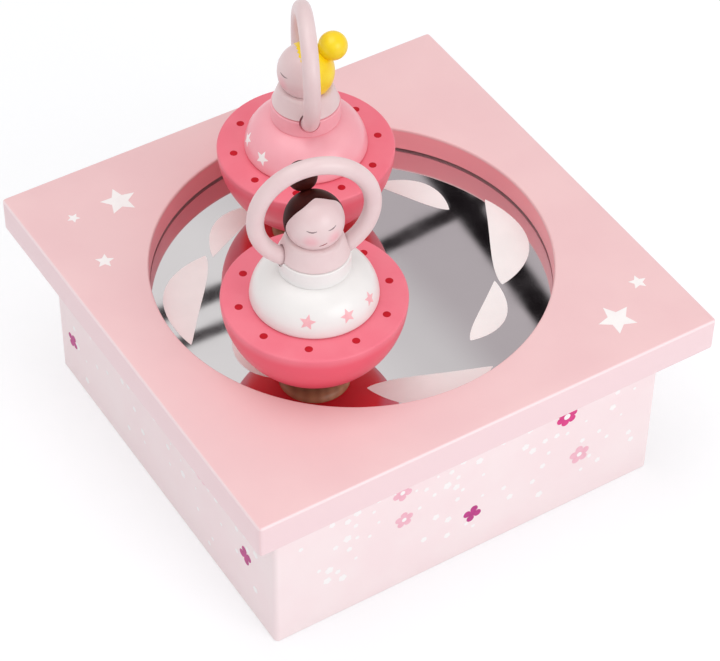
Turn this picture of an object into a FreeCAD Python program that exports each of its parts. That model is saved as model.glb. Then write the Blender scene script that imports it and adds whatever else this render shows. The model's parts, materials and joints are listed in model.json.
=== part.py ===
import FreeCAD, Part
import math
import os

# Wind-up music box with a mirror stage and two turned wooden dancers.
# A spring movement under the mirror turns an arm with two magnets, and each magnet
# leads one dancer round the stage while the dancer spins on her own foot.
# Frame: +Z up, origin at the middle of the bottom rim, front wall at -Y. Millimetres.

# Box
plate_side = 160.0
plate_thickness = 12.0
plate_corner_radius = 1.2
plate_edge_round = 0.8
plate_overhang = 11.0
stage_diameter = 125.0
stage_edge_round = 0.6
wall_thickness = 9.0
wall_corner_radius = 1.5
wall_foot_round = 0.6
mirror_thickness = 3.0
mirror_lap = 3.5
mirror_clearance = 0.5
floor_recess = 16.0
floor_thickness = 6.0
floor_clearance = 0.3
block_side = 14.0
block_height = 18.0

# Wood screws of the floor and machine screws of the movement
wood_screw_radius = 1.5
wood_screw_length = 16.0
wood_screw_inset = 7.0
bed_screw_radius = 1.5
bed_screw_bite = 2.5
small_screw_radius = 0.8
small_screw_bite = 2.0
screw_hole_clearance = 0.1
thread_clearance = 0.05
screw_head_ratio = 2.0
screw_head_flatness = 1.3
driver_slot_width = 0.6

# Dancers
foot_radius = 11.0
foot_thickness = 4.6
foot_edge_round = 1.2
foot_gap = 0.2
dancer_magnet_radius = 7.5
dancer_magnet_thickness = 3.0
bowl_radius = 27.75
bowl_edge_round = 0.7
skirt_radius = 19.15
skirt_height = 11.9
skirt_lip = 0.9
skirt_bulge = 2.0
collar_radius = 10.8
collar_height = 5.8
collar_root_round = 0.4
bust_radius = 10.4
bust_taper = 1.7
bust_side_height = 5.2
shoulder_height = 1.2
shoulder_run = 1.3
head_radius = 8.75
head_rise = 11.9
bun_radius = 4.5
bun_tilt = 47.0
bun_bite = 1.1
arm_radius = 2.6
arm_ring_radius = 17.4
arm_ring_rise = 14.7
arm_socket_depth = 2.0
arm_clearance = 0.25
dowel_radius = 2.5
dowel_clearance = 0.05
dowel_bite = 6.0
pocket_clearance = 0.1

# Where the dancers stand: distance from the middle, direction, and turn from facing -Y
front_dancer_orbit = 39.0
front_dancer_bearing = -138.4
front_dancer_turn = -15.6
rear_dancer_orbit = 32.1
rear_dancer_bearing = 84.8
rear_dancer_turn = -114.6

# Movement bed and winding
bed_thickness = 3.0
bed_margin = 1.6
bed_corner_radius = 4.0
bed_screw_inset = 5.0
running_clearance = 0.05
arbor_radius = 2.5
arbor_thread_radius = 1.9
arbor_hub_radius = 3.5
arbor_pivot_radius = 1.5
arbor_low_end = 4.5
arbor_end_shake = 0.2
ratchet_radius = 6.0
ratchet_teeth = 12
ratchet_tooth_depth = 0.9
ratchet_thickness = 1.6
ratchet_lift = 0.4
click_gap = 0.1
click_width = 2.4
click_reach = 7.5
click_thickness = 1.4
key_hub_radius = 3.4
key_lobe_radius = 5.5
key_lobe_offset = 6.5
key_eye_radius = 2.4
key_thickness = 2.4
key_table_gap = 2.5
key_floor_gap = 2.0
key_hub_rise = 1.0
key_eye_offset = 7.8
floor_arbor_hole_radius = 5.0

# Spring barrel, drive spindle and magnet arm
barrel_lift = 0.6
barrel_radius = 12.0
barrel_wall = 0.8
barrel_base = 1.6
barrel_height = 14.4
barrel_lid_thickness = 1.2
barrel_lid_lip = 1.0
spring_strip = 0.35
spring_turns = 6
spring_side_gap = 0.25
spindle_flange_radius = 5.0
spindle_flange_thickness = 1.5
spindle_shoulder_radius = 3.0
spindle_radius = 2.0
spindle_proud = 0.6
arm_mirror_gap = 1.5
arm_headroom = 3.55
magnet_arm_thickness = 4.0
magnet_cup_height = 6.0
magnet_cup_wall = 1.8
magnet_arm_tip_radius = 6.5
arm_magnet_radius = 7.5
arm_magnet_thickness = 4.0
arm_hub_radius = 8.0
nut_across_flats = 7.0
nut_height = 2.0

# Crown gear, pinned cylinder and comb
crown_barrel_gap = 0.6
crown_teeth = 48
crown_face = 2.8
crown_addendum = 0.4
crown_dedendum = 0.6
crown_tooth_base = 0.77
crown_tooth_crest = 0.4
crown_tooth_sink = 0.2
crown_tooth_setback = 0.15
pinion_teeth = 12
cylinder_radius = 6.5
cylinder_wall = 0.7
cylinder_end_thickness = 1.0
axle_radius = 1.0
note_count = 18
note_pitch = 1.0
cylinder_margin = 0.8
pin_radius = 0.2
pin_height = 0.5
pins_per_note = 5
pin_stagger = 67.0
comb_gap = 0.1
comb_thickness = 1.0
comb_slot = 0.25
comb_bass_tooth = 13.0
comb_treble_tooth = 8.0
comb_length = 23.0
comb_screw_inset = 4.0
comb_ledge_depth = 9.0

# Gear train to the governor
gear_module = 0.5
cylinder_gear_teeth = 30
governor_pinion_teeth = 10
worm_wheel_teeth = 20
gear_width = 1.5
worm_wheel_width = 1.2
gear_addendum = 0.35
gear_dedendum = 0.55
tooth_share = 0.36
worm_tooth_share = 0.306
tooth_taper = 0.5
governor_arbor_radius = 0.8
worm_radius = 1.8
worm_core_radius = 1.2
worm_addendum = 0.45
worm_turns = 5
worm_crest = 0.35
worm_base = 0.7
governor_spindle_radius = 0.7
worm_thread_sink = 0.15
pivot_radius = 0.5
pivot_depth = 1.5
pivot_end_shake = 0.1
fly_width = 10.0
fly_height = 5.0
fly_thickness = 0.6
fly_lift = 0.6
bearing_thickness = 1.8
bearing_gap = 0.7
pinion_bearing_gap = 0.9
bearing_head_radius = 4.0
bearing_foot_thickness = 1.2
bearing_low_wall = 2.4
tab_half = 2.5
tab_gap = 0.4
fly_post_gap = 1.0
post_half = 2.5
cock_thickness = 2.0
cock_lift = 0.7

# Heights and places worked out from the sizes above
wall_outer = plate_side - 2 * plate_overhang
wall_inner = wall_outer - 2 * wall_thickness
stage_radius = stage_diameter / 2
mirror_radius = stage_radius + mirror_lap
floor_top = floor_recess + floor_thickness
bed_top = floor_top + bed_thickness
ratchet_low = bed_top + ratchet_lift
ratchet_high = ratchet_low + ratchet_thickness
barrel_low = ratchet_high + barrel_lift
crown_root = barrel_low + barrel_base
crown_pitch_level = crown_root + crown_dedendum
barrel_high = barrel_low + barrel_height
lid_high = barrel_high + barrel_lid_thickness
flange_high = lid_high + spindle_flange_thickness

crown_pitch_radius = barrel_radius + crown_barrel_gap + crown_face / 2
pinion_radius = crown_pitch_radius * pinion_teeth / crown_teeth
axis_level = crown_pitch_level + pinion_radius
pin_reach = cylinder_radius + pin_height
pinion_start = crown_pitch_radius - crown_face / 2
pinion_end = crown_pitch_radius + crown_face / 2
left_bearing_start = pinion_end + pinion_bearing_gap
cylinder_start = left_bearing_start + bearing_thickness + bearing_gap
cylinder_length = note_count * note_pitch + 2 * cylinder_margin
cylinder_end = cylinder_start + cylinder_length
right_bearing_start = cylinder_end + bearing_gap
gear_start = right_bearing_start + bearing_thickness + bearing_gap
gear_end = gear_start + gear_width
worm_wheel_start = gear_end + 2 * bearing_gap
worm_wheel_end = worm_wheel_start + worm_wheel_width
governor_bearing_start = worm_wheel_end + 2 * bearing_gap
governor_bearing_end = governor_bearing_start + bearing_thickness

cylinder_gear_radius = gear_module * cylinder_gear_teeth / 2
governor_pinion_radius = gear_module * governor_pinion_teeth / 2
worm_wheel_radius = gear_module * worm_wheel_teeth / 2
governor_axis_y = cylinder_gear_radius + governor_pinion_radius
worm_x = (worm_wheel_start + worm_wheel_end) / 2
worm_y = governor_axis_y + worm_wheel_radius + worm_radius
worm_pitch = math.pi * gear_module
fly_low = axis_level + worm_wheel_radius + gear_addendum + fly_lift
fly_high = fly_low + fly_height
cock_low = fly_high + cock_lift
cock_high = cock_low + cock_thickness
post_y = worm_y + fly_width / 2 + fly_post_gap + post_half

magnet_arm_low = cock_high + arm_headroom
magnet_arm_high = magnet_arm_low + magnet_cup_height
arm_web_high = magnet_arm_low + magnet_arm_thickness
wall_height = magnet_arm_high + arm_mirror_gap
mirror_top = wall_height + mirror_thickness
plate_top = wall_height + plate_thickness

comb_front = -(pin_reach + comb_gap)
comb_rear = comb_front - comb_length
bed_left = -(pinion_end + bed_margin)
bed_right = governor_bearing_end + bed_margin
bed_front = comb_rear - bed_margin
bed_rear = post_y + post_half + bed_margin

rim_rise = foot_gap + foot_thickness + math.sqrt(bowl_radius ** 2 - foot_radius ** 2)
collar_rise = rim_rise + skirt_height + collar_height
bust_height = bust_side_height + shoulder_height
head_centre = collar_rise + head_rise
arm_centre = collar_rise + arm_ring_rise
arm_end_angle = math.degrees(math.asin((collar_radius - arm_socket_depth) / arm_ring_radius))

bed_screw_places = [
    (bed_left + bed_screw_inset, bed_front + bed_screw_inset),
    (bed_left + bed_screw_inset, bed_rear - bed_screw_inset),
    (bed_right - bed_screw_inset, bed_front + bed_screw_inset),
]

UP = FreeCAD.Vector(0, 0, 1)
ALONG_X = FreeCAD.Vector(1, 0, 0)
ALONG_Y = FreeCAD.Vector(0, 1, 0)
ORIGIN = FreeCAD.Vector(0, 0, 0)


# General shapes

def at(x, y, z):
    return FreeCAD.Vector(x, y, z)


def rod(radius, low, high, x=0.0, y=0.0):
    return Part.makeCylinder(radius, high - low, at(x, y, low), UP)


def rod_along_x(radius, start, end, y, z):
    return Part.makeCylinder(radius, end - start, at(start, y, z), ALONG_X)


def block(x, y, z):
    # Each argument is a (low, high) pair.
    return Part.makeBox(x[1] - x[0], y[1] - y[0], z[1] - z[0], at(x[0], y[0], z[0]))


def about(middle, half):
    # The (low, high) pair that lies evenly about a middle.
    return (middle - half, middle + half)


def fuse_all(first, others):
    return first.multiFuse(list(others)).removeSplitter()


def cut_all(first, others):
    return first.cut(list(others))


def prism(points, low, high):
    corners = [at(x, y, low) for x, y in points]
    wire = Part.makePolygon(corners + [corners[0]])
    return Part.Face(wire).extrude(at(0, 0, high - low))


def lathe(segments):
    # Turns an outline in the XZ plane about Z. A segment is a list of two or three
    # (radius, height) points: a line, or an arc through its middle point.
    edges = []
    for points in segments:
        places = [at(r, 0, z) for r, z in points]
        if len(places) == 2:
            edges.append(Part.LineSegment(*places).toShape())
        else:
            edges.append(Part.Arc(*places).toShape())
    face = Part.Face(Part.Wire(edges))
    return face.revolve(ORIGIN, UP, 360)


def steps(points):
    # Line segments that join the points and close the outline.
    return [[a, b] for a, b in zip(points, points[1:] + points[:1])]


def bulged(start, end, bulge):
    # Middle point of an arc that stands off its chord to the right of its direction.
    dx = end[0] - start[0]
    dz = end[1] - start[1]
    length = math.hypot(dx, dz)
    return ((start[0] + end[0]) / 2 + bulge * dz / length,
            (start[1] + end[1]) / 2 - bulge * dx / length)


def corner_arc(start, corner, end):
    # Middle point of the quarter round that replaces a square corner.
    share = 1 - math.sqrt(0.5)
    return (corner[0] + share * (start[0] + end[0] - 2 * corner[0]),
            corner[1] + share * (start[1] + end[1] - 2 * corner[1]))


def edges_at(shape, test):
    return [edge for edge in shape.Edges if test(edge)]


def flat_at(edge, level):
    return all(abs(v.Z - level) < 1e-6 for v in edge.Vertexes)


def rounded_square(side, low, high, corner_radius):
    half = side / 2
    body = block((-half, half), (-half, half), (low, high))
    upright = edges_at(body, lambda e: abs(e.Vertexes[0].Z - e.Vertexes[-1].Z) > 1e-6)
    return body.makeFillet(corner_radius, upright)


def screw(radius, head_low, tip, x, y):
    # A pan-head screw whose shank runs from its head's seat to the tip; the head lies
    # on the far side of the seat from the tip.
    way = 1 if tip > head_low else -1
    head_radius = radius * screw_head_ratio
    head_height = radius * screw_head_flatness
    crown = head_low - way * head_height
    shank = rod(radius, min(head_low, tip), max(head_low, tip), x, y)
    head = rod(head_radius, min(head_low, crown), max(head_low, crown), x, y)
    slot_depth = head_height / 2
    half_slot = driver_slot_width / 2
    slot = block((x - head_radius, x + head_radius), (y - half_slot, y + half_slot),
                 (min(crown, crown + way * slot_depth), max(crown, crown + way * slot_depth)))
    return head.cut(slot).fuse(shank).removeSplitter()


def screws(radius, head_low, tip, places):
    return Part.makeCompound([screw(radius, head_low, tip, x, y) for x, y in places])


def toothed_wheel(teeth, pitch_radius, addendum, dedendum, share, low, high, first_angle):
    # A wheel with straight-sided teeth, axis Z; a tooth is centred on first_angle.
    pitch_angle = 2 * math.pi / teeth
    root = pitch_radius - dedendum
    tip = pitch_radius + addendum
    half_root = pitch_angle * (share + (1 - share) * tooth_taper * 0.5) / 2
    half_tip = pitch_angle * share * tooth_taper / 2
    points = []
    for tooth in range(teeth):
        middle = math.radians(first_angle) + tooth * pitch_angle
        for radius, angle in ((root, -half_root), (tip, -half_tip), (tip, half_tip), (root, half_root)):
            points.append((radius * math.cos(middle + angle), radius * math.sin(middle + angle)))
    return prism(points, low, high)


def onto_x_axis(shape, start, y):
    # Lays a shape made along Z, with its zero at the origin, along X at the train's level.
    # Its local X then points down and its local Y along +Y.
    turned = shape.copy()
    turned.rotate(ORIGIN, ALONG_Y, 90)
    turned.translate(at(start, y, axis_level))
    return turned


# Box

def top_plate():
    body = rounded_square(plate_side, wall_height, plate_top, plate_corner_radius)
    rims = edges_at(body, lambda e: flat_at(e, plate_top) or flat_at(e, wall_height))
    body = body.makeFillet(plate_edge_round, rims)
    body = body.cut(rod(stage_radius, wall_height, plate_top))
    body = body.cut(rod(mirror_radius + mirror_clearance, wall_height, mirror_top))
    lip = edges_at(body, lambda e: flat_at(e, plate_top) and abs(e.BoundBox.XMax - stage_radius) < 1e-3)
    return body.makeFillet(stage_edge_round, lip)


def walls():
    # Four boards, mitred at the corners.
    half = wall_inner / 2
    ring = rounded_square(wall_outer, 0, wall_height, wall_corner_radius)
    ring = ring.makeFillet(wall_foot_round, edges_at(ring, lambda e: flat_at(e, 0)))
    ring = ring.cut(block((-half, half), (-half, half), (0, wall_height)))
    boards = {}
    for turn, name in enumerate(("front_wall", "right_wall", "rear_wall", "left_wall")):
        wedge = prism([(0, 0), (-wall_outer, -wall_outer), (wall_outer, -wall_outer)], 0, wall_height)
        wedge.rotate(ORIGIN, UP, 90 * turn)
        boards[name] = ring.common(wedge)
    return boards


def mirror():
    return rod(mirror_radius, wall_height, mirror_top)


def corner_places():
    reach = wall_inner / 2 - wood_screw_inset
    return [(sx * reach, sy * reach) for sx in (-1, 1) for sy in (-1, 1)]


def floor_board():
    half = wall_inner / 2 - floor_clearance
    board = block((-half, half), (-half, half), (floor_recess, floor_top))
    holes = [rod(floor_arbor_hole_radius, floor_recess, floor_top)]
    holes += [rod(wood_screw_radius + screw_hole_clearance, floor_recess, floor_top, x, y)
              for x, y in corner_places()]
    holes += [rod(bed_screw_radius + screw_hole_clearance, floor_recess, floor_top, x, y)
              for x, y in bed_screw_places]
    return cut_all(board, holes)


def corner_blocks():
    # Glued into the corners; the floor board is screwed up into them.
    blocks = []
    inner = wall_inner / 2
    tip = floor_recess + wood_screw_length
    for x, y in corner_places():
        near_x, far_x = sorted((math.copysign(inner - block_side, x), math.copysign(inner, x)))
        near_y, far_y = sorted((math.copysign(inner - block_side, y), math.copysign(inner, y)))
        body = block((near_x, far_x), (near_y, far_y), (floor_top, floor_top + block_height))
        pilot = rod(wood_screw_radius + thread_clearance, floor_top, tip + screw_hole_clearance, x, y)
        blocks.append(body.cut(pilot))
    return Part.makeCompound(blocks)


def floor_screws():
    tip = floor_recess + wood_screw_length
    return screws(wood_screw_radius, floor_recess, tip, corner_places())


# Dancers, made facing -Y on the Z axis with the mirror's top at zero

def dancer_foot():
    low = foot_gap
    high = foot_gap + foot_thickness
    inner = foot_radius - foot_edge_round
    start = (inner, low)
    end = (foot_radius, low + foot_edge_round)
    turned = lathe([
        [(0, low), start],
        [start, corner_arc(start, (foot_radius, low), end), end],
        [end, (foot_radius, high)],
        [(foot_radius, high), (0, high)],
        [(0, high), (0, low)],
    ])
    pocket_low = high - dancer_magnet_thickness - pocket_clearance
    return turned.cut(rod(dancer_magnet_radius + pocket_clearance, pocket_low, high))


def dancer_magnet():
    low = foot_gap + foot_thickness - dancer_magnet_thickness - pocket_clearance
    return rod(dancer_magnet_radius, low, low + dancer_magnet_thickness)


def dancer_bowl():
    # A half ball, cut flat for the foot, with a softened rim and a socket for the dowel.
    ball = Part.makeSphere(bowl_radius, at(0, 0, rim_rise))
    flat = foot_gap + foot_thickness
    half = ball.common(rod(bowl_radius * 2, flat, rim_rise))
    rim = edges_at(half, lambda e: flat_at(e, rim_rise) and e.Length > math.pi * bowl_radius)
    half = half.makeFillet(bowl_edge_round, rim)
    return half.cut(rod(dowel_radius + dowel_clearance, rim_rise - dowel_bite, rim_rise))


def dancer_skirt():
    low = rim_rise
    collar_low = low + skirt_height
    hem = (skirt_radius, low + skirt_lip)
    hem_start = (skirt_radius - skirt_lip, low)
    root_start = (collar_radius + collar_root_round, collar_low - collar_root_round / 2)
    root_end = (collar_radius, collar_low + collar_root_round)
    root_corner = (collar_radius, collar_low)
    turned = lathe([
        [(0, low), hem_start],
        [hem_start, corner_arc(hem_start, (skirt_radius, low), hem), hem],
        [hem, bulged(hem, root_start, skirt_bulge), root_start],
        [root_start, corner_arc(root_start, root_corner, root_end), root_end],
        [root_end, (collar_radius, collar_rise)],
        [(collar_radius, collar_rise), (0, collar_rise)],
        [(0, collar_rise), (0, low)],
    ])
    return cut_all(turned, [rod(dowel_radius + dowel_clearance, low, collar_rise), arm_sockets()])


def dancer_bust():
    low = collar_rise
    side_top = (bust_radius - bust_taper, low + bust_side_height)
    neck = (side_top[0] - shoulder_run, low + bust_height)
    turned = lathe([
        [(0, low), (bust_radius, low)],
        [(bust_radius, low), side_top],
        [side_top, bulged(side_top, neck, shoulder_height / 4), neck],
        [neck, (0, neck[1])],
        [(0, neck[1]), (0, low)],
    ])
    bore = rod(dowel_radius + dowel_clearance, low, neck[1])
    return cut_all(turned, [head_ball(), bore, arm_sockets()])


def arm_hoop(radius):
    # The open ring of the arms: a disc swept about the ring's middle from one shoulder,
    # over the head, to the other. It starts at the lowest point of the ring.
    centre = at(0, 0, arm_centre)
    disc = Part.Face(Part.Wire(Part.makeCircle(radius, at(0, 0, arm_centre - arm_ring_radius), ALONG_X)))
    disc.rotate(centre, ALONG_Y, -arm_end_angle)
    return disc.revolve(centre, ALONG_Y, -(360 - 2 * arm_end_angle))


def arm_sockets():
    return arm_hoop(arm_radius + arm_clearance)


def head_ball():
    return Part.makeSphere(head_radius, at(0, 0, head_centre))


def dancer_head():
    low = head_centre - head_radius
    return head_ball().cut(rod(dowel_radius + dowel_clearance, low, low + dowel_bite))


def dancer_bun():
    # Sits high on the back of the head, hollowed to fit it.
    reach = head_radius + bun_radius - bun_bite
    tilt = math.radians(bun_tilt)
    centre = at(0, reach * math.cos(tilt), head_centre + reach * math.sin(tilt))
    return Part.makeSphere(bun_radius, centre).cut(head_ball())


def dancer_dowel():
    low = rim_rise - dowel_bite
    return rod(dowel_radius, low, head_centre - head_radius + dowel_bite)


def dancer(name, orbit, bearing, turn):
    pieces = {
        "foot": dancer_foot(),
        "magnet": dancer_magnet(),
        "bowl": dancer_bowl(),
        "skirt": dancer_skirt(),
        "bust": dancer_bust(),
        "arms": arm_hoop(arm_radius),
        "head": dancer_head(),
        "bun": dancer_bun(),
        "dowel": dancer_dowel(),
    }
    x, y = polar(orbit, bearing)
    for shape in pieces.values():
        shape.rotate(ORIGIN, UP, turn)
        shape.translate(at(x, y, mirror_top))
    return {name + "_" + part: shape for part, shape in pieces.items()}


def polar(distance, bearing):
    angle = math.radians(bearing)
    return distance * math.cos(angle), distance * math.sin(angle)


# Movement bed, winding and ratchet

def comb_screw_places():
    y = comb_rear + comb_screw_inset
    return [(cylinder_start + comb_screw_inset, y), (cylinder_end - comb_screw_inset, y)]


def bearing_screw_places():
    seat = small_screw_radius * screw_head_ratio + tab_gap
    return {
        "left_bearing": (left_bearing_start + bearing_thickness + seat, pin_reach + tab_half),
        "right_bearing": (right_bearing_start - seat, governor_axis_y + tab_gap),
        "governor_bearing": (governor_bearing_start - seat, 0.0),
    }


def cock_screw_place():
    return (worm_x - 2 * post_half - tab_gap, post_y)


def click_screw_place():
    return polar(ratchet_radius + click_gap + click_reach - click_width, 135)


def bedplate():
    plate = block((bed_left, bed_right), (bed_front, bed_rear), (floor_top, bed_top))
    upright = edges_at(plate, lambda e: abs(e.Vertexes[0].Z - e.Vertexes[-1].Z) > 1e-6)
    plate = plate.makeFillet(bed_corner_radius, upright)
    ledge_high = axis_level - comb_thickness / 2
    ledge_front = comb_rear + comb_ledge_depth
    ledge = block((cylinder_start, cylinder_end), (comb_rear, ledge_front), (bed_top, ledge_high))
    plate = fuse_all(plate, [ledge])
    holes = [rod(arbor_radius + running_clearance, floor_top, bed_top)]
    tapped = bed_screw_radius + thread_clearance
    bite = bed_screw_bite + screw_hole_clearance
    holes += [rod(tapped, floor_top, floor_top + bite, x, y) for x, y in bed_screw_places]
    tapped = small_screw_radius + thread_clearance
    bite = small_screw_bite + screw_hole_clearance
    holes += [rod(tapped, ledge_high - bite, ledge_high, x, y) for x, y in comb_screw_places()]
    places = list(bearing_screw_places().values()) + [cock_screw_place(), click_screw_place()]
    holes += [rod(tapped, bed_top - bite, bed_top, x, y) for x, y in places]
    holes.append(rod(pivot_radius + running_clearance, bed_top - pivot_depth, bed_top, worm_x, worm_y))
    return cut_all(plate, holes)


def bed_screws():
    tip = floor_top + bed_screw_bite
    return screws(bed_screw_radius, floor_recess, tip, bed_screw_places)


def winding_arbor():
    low = arbor_low_end
    thread_end = floor_recess - key_floor_gap
    hub_low = crown_root + arbor_end_shake
    hub_high = barrel_high - barrel_lid_lip - arbor_end_shake
    points = [
        (0, low), (arbor_thread_radius, low), (arbor_thread_radius, thread_end), (arbor_radius, thread_end),
        (arbor_radius, hub_low), (arbor_hub_radius, hub_low), (arbor_hub_radius, hub_high),
        (arbor_pivot_radius, hub_high), (arbor_pivot_radius, lid_high), (0, lid_high),
    ]
    return lathe(steps(points))


def ratchet_wheel():
    # Saw teeth: each rises slowly and drops along a radius.
    points = []
    for tooth in range(ratchet_teeth):
        start = 2 * math.pi * tooth / ratchet_teeth
        for radius in (ratchet_radius - ratchet_tooth_depth, ratchet_radius):
            points.append((radius * math.cos(start), radius * math.sin(start)))
    wheel = prism(points, ratchet_low, ratchet_high)
    return wheel.cut(rod(arbor_radius, ratchet_low, ratchet_high))


def click():
    # A leaf screwed to the bed whose nose stands just clear of the ratchet's tips.
    high = bed_top + click_thickness
    inner = ratchet_radius + click_gap
    leaf = block((inner, inner + click_reach), (-click_width / 2, click_width / 2), (bed_top, high))
    nose = edges_at(leaf, lambda e: abs(e.BoundBox.XMax - inner) < 1e-6 and e.BoundBox.ZLength > 0.1)
    leaf = leaf.makeChamfer(click_width / 3, nose)
    leaf.rotate(ORIGIN, UP, 135)
    x, y = click_screw_place()
    return leaf.cut(rod(small_screw_radius + screw_hole_clearance, bed_top, high, x, y))


def click_screw():
    x, y = click_screw_place()
    return screw(small_screw_radius, bed_top + click_thickness, bed_top - small_screw_bite, x, y)


def winding_key():
    # Two flat eyes either side of a round hub that screws onto the arbor.
    middle = key_table_gap + key_lobe_radius
    half = key_thickness / 2

    def disc(radius, x):
        return Part.makeCylinder(radius, key_thickness, at(x, -half, middle), ALONG_Y)

    lobes = [disc(key_lobe_radius, side * key_lobe_offset) for side in (-1, 1)]
    web = block(about(0, key_lobe_offset), about(0, half), about(middle, key_lobe_radius / 2))
    hub_high = floor_recess - key_floor_gap
    hub = rod(key_hub_radius, key_table_gap + key_hub_rise, hub_high)
    body = fuse_all(hub, lobes + [web])
    eyes = [disc(key_eye_radius, side * key_eye_offset) for side in (-1, 1)]
    thread = rod(arbor_thread_radius + running_clearance, arbor_low_end, hub_high)
    return cut_all(body, eyes + [thread])


# Spring barrel, drive spindle and magnet arm

def spring_barrel():
    inner = barrel_radius - barrel_wall
    flange = crown_pitch_radius + crown_face / 2
    cup = lathe(steps([
        (arbor_radius + running_clearance, barrel_low), (flange, barrel_low), (flange, crown_root),
        (barrel_radius, crown_root), (barrel_radius, barrel_high), (inner, barrel_high),
        (inner, crown_root), (arbor_radius + running_clearance, crown_root),
    ]))
    return fuse_all(cup, crown_teeth_ring())


def crown_teeth_ring():
    # Upright trapezoid teeth round the flange; one is centred on +X, where the pinion runs.
    inner = crown_pitch_radius - crown_face / 2
    outer = crown_pitch_radius + crown_face / 2
    high = crown_dedendum + crown_addendum
    half_low = crown_tooth_base / 2
    half_high = crown_tooth_crest / 2
    low = crown_root - crown_tooth_sink
    teeth = []
    for index in range(crown_teeth):
        profile = [at(inner, -half_low, low), at(inner, half_low, low),
                   at(inner, half_high, crown_root + high), at(inner, -half_high, crown_root + high)]
        wire = Part.makePolygon(profile + [profile[0]])
        tooth = Part.Face(wire).extrude(at(outer - inner - crown_tooth_setback, 0, 0))
        tooth.rotate(ORIGIN, UP, 360.0 * index / crown_teeth)
        teeth.append(tooth)
    return teeth


def barrel_lid():
    inner = barrel_radius - barrel_wall - running_clearance
    return lathe(steps([
        (arbor_pivot_radius + running_clearance, barrel_high - barrel_lid_lip),
        (inner, barrel_high - barrel_lid_lip), (inner, barrel_high), (barrel_radius, barrel_high),
        (barrel_radius, lid_high), (arbor_pivot_radius + running_clearance, lid_high),
    ]))


def mainspring():
    # A flat strip wound in half circles whose centres change sides by half a pitch.
    low = crown_root + spring_side_gap
    high = barrel_high - barrel_lid_lip - spring_side_gap
    room = barrel_radius - barrel_wall - arbor_hub_radius - 2 * spring_side_gap - spring_strip
    half_pitch = room / (2 * spring_turns + 1)
    outer_radius = barrel_radius - barrel_wall - spring_side_gap - half_pitch / 2
    halves = 2 * spring_turns
    radii = [outer_radius - half_pitch * (halves - index) for index in range(halves + 1)]

    def bank(offset):
        arcs = []
        for index, radius in enumerate(radii):
            side = 1 if index % 2 == 0 else -1
            shift = -half_pitch / 2 if index % 2 == 0 else half_pitch / 2
            r = radius - offset
            arc = Part.Arc(at(shift + r, 0, low), at(shift, side * r, low), at(shift - r, 0, low))
            arcs.append(arc.toShape())
        return arcs

    outside = bank(0)
    inside = bank(spring_strip)
    starts = [outside[0].valueAt(outside[0].FirstParameter), inside[0].valueAt(inside[0].FirstParameter)]
    last = len(radii) - 1
    x_end = (-half_pitch / 2 if last % 2 == 0 else half_pitch / 2)
    way = -1 if last % 2 == 0 else 1
    ends = [at(x_end + way * radii[-1], 0, low), at(x_end + way * (radii[-1] - spring_strip), 0, low)]
    caps = [Part.LineSegment(*starts).toShape(), Part.LineSegment(*ends).toShape()]
    wire = Part.Wire(Part.__sortEdges__(outside + inside + caps))
    return Part.Face(wire).extrude(at(0, 0, high - low))


def drive_spindle():
    top = arm_web_high + nut_height + spindle_proud
    return lathe(steps([
        (0, lid_high), (spindle_flange_radius, lid_high), (spindle_flange_radius, flange_high),
        (spindle_shoulder_radius, flange_high), (spindle_shoulder_radius, magnet_arm_low),
        (spindle_radius, magnet_arm_low), (spindle_radius, top), (0, top),
    ]))


def magnet_places():
    return [polar(front_dancer_orbit, front_dancer_bearing), polar(rear_dancer_orbit, rear_dancer_bearing)]


def tapered_link(radius, end, end_radius, low, high):
    # A flat bar from a disc at the origin to a smaller or larger disc, with tangent sides.
    length = math.hypot(*end)
    heading = math.degrees(math.atan2(end[1], end[0]))
    lean = math.acos((radius - end_radius) / length)
    c, s = math.cos(lean), math.sin(lean)
    near_left, near_right = at(radius * c, radius * s, low), at(radius * c, -radius * s, low)
    far_left = at(length + end_radius * c, end_radius * s, low)
    far_right = at(length + end_radius * c, -end_radius * s, low)
    wire = Part.Wire([
        Part.LineSegment(near_right, far_right).toShape(),
        Part.Arc(far_right, at(length + end_radius, 0, low), far_left).toShape(),
        Part.LineSegment(far_left, near_left).toShape(),
        Part.Arc(near_left, at(-radius, 0, low), near_right).toShape(),
    ])
    bar = Part.Face(wire).extrude(at(0, 0, high - low))
    bar.rotate(ORIGIN, UP, heading)
    return bar


def magnet_arm():
    # Two bars of different reach from one hub, each ending in a cup for its magnet.
    cup_radius = arm_magnet_radius + magnet_cup_wall
    solids = [tapered_link(arm_hub_radius, place, magnet_arm_tip_radius, magnet_arm_low, arm_web_high)
              for place in magnet_places()]
    solids += [rod(cup_radius, magnet_arm_low, magnet_arm_high, x, y) for x, y in magnet_places()]
    body = fuse_all(solids[0], solids[1:])
    pocket_low = magnet_arm_high - arm_magnet_thickness
    pockets = [rod(arm_magnet_radius + pocket_clearance, pocket_low, magnet_arm_high, x, y)
               for x, y in magnet_places()]
    bore = rod(spindle_radius + running_clearance, magnet_arm_low, arm_web_high)
    return cut_all(body, pockets + [bore])


def arm_magnets():
    low = magnet_arm_high - arm_magnet_thickness
    discs = [rod(arm_magnet_radius, low, magnet_arm_high, x, y) for x, y in magnet_places()]
    return Part.makeCompound(discs)


def arm_nut():
    reach = nut_across_flats / math.sqrt(3)
    points = [polar(reach, 60 * corner) for corner in range(6)]
    nut = prism(points, arm_web_high, arm_web_high + nut_height)
    return nut.cut(rod(spindle_radius + running_clearance, arm_web_high, arm_web_high + nut_height))


# Pinned cylinder, its gears and the comb

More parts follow.
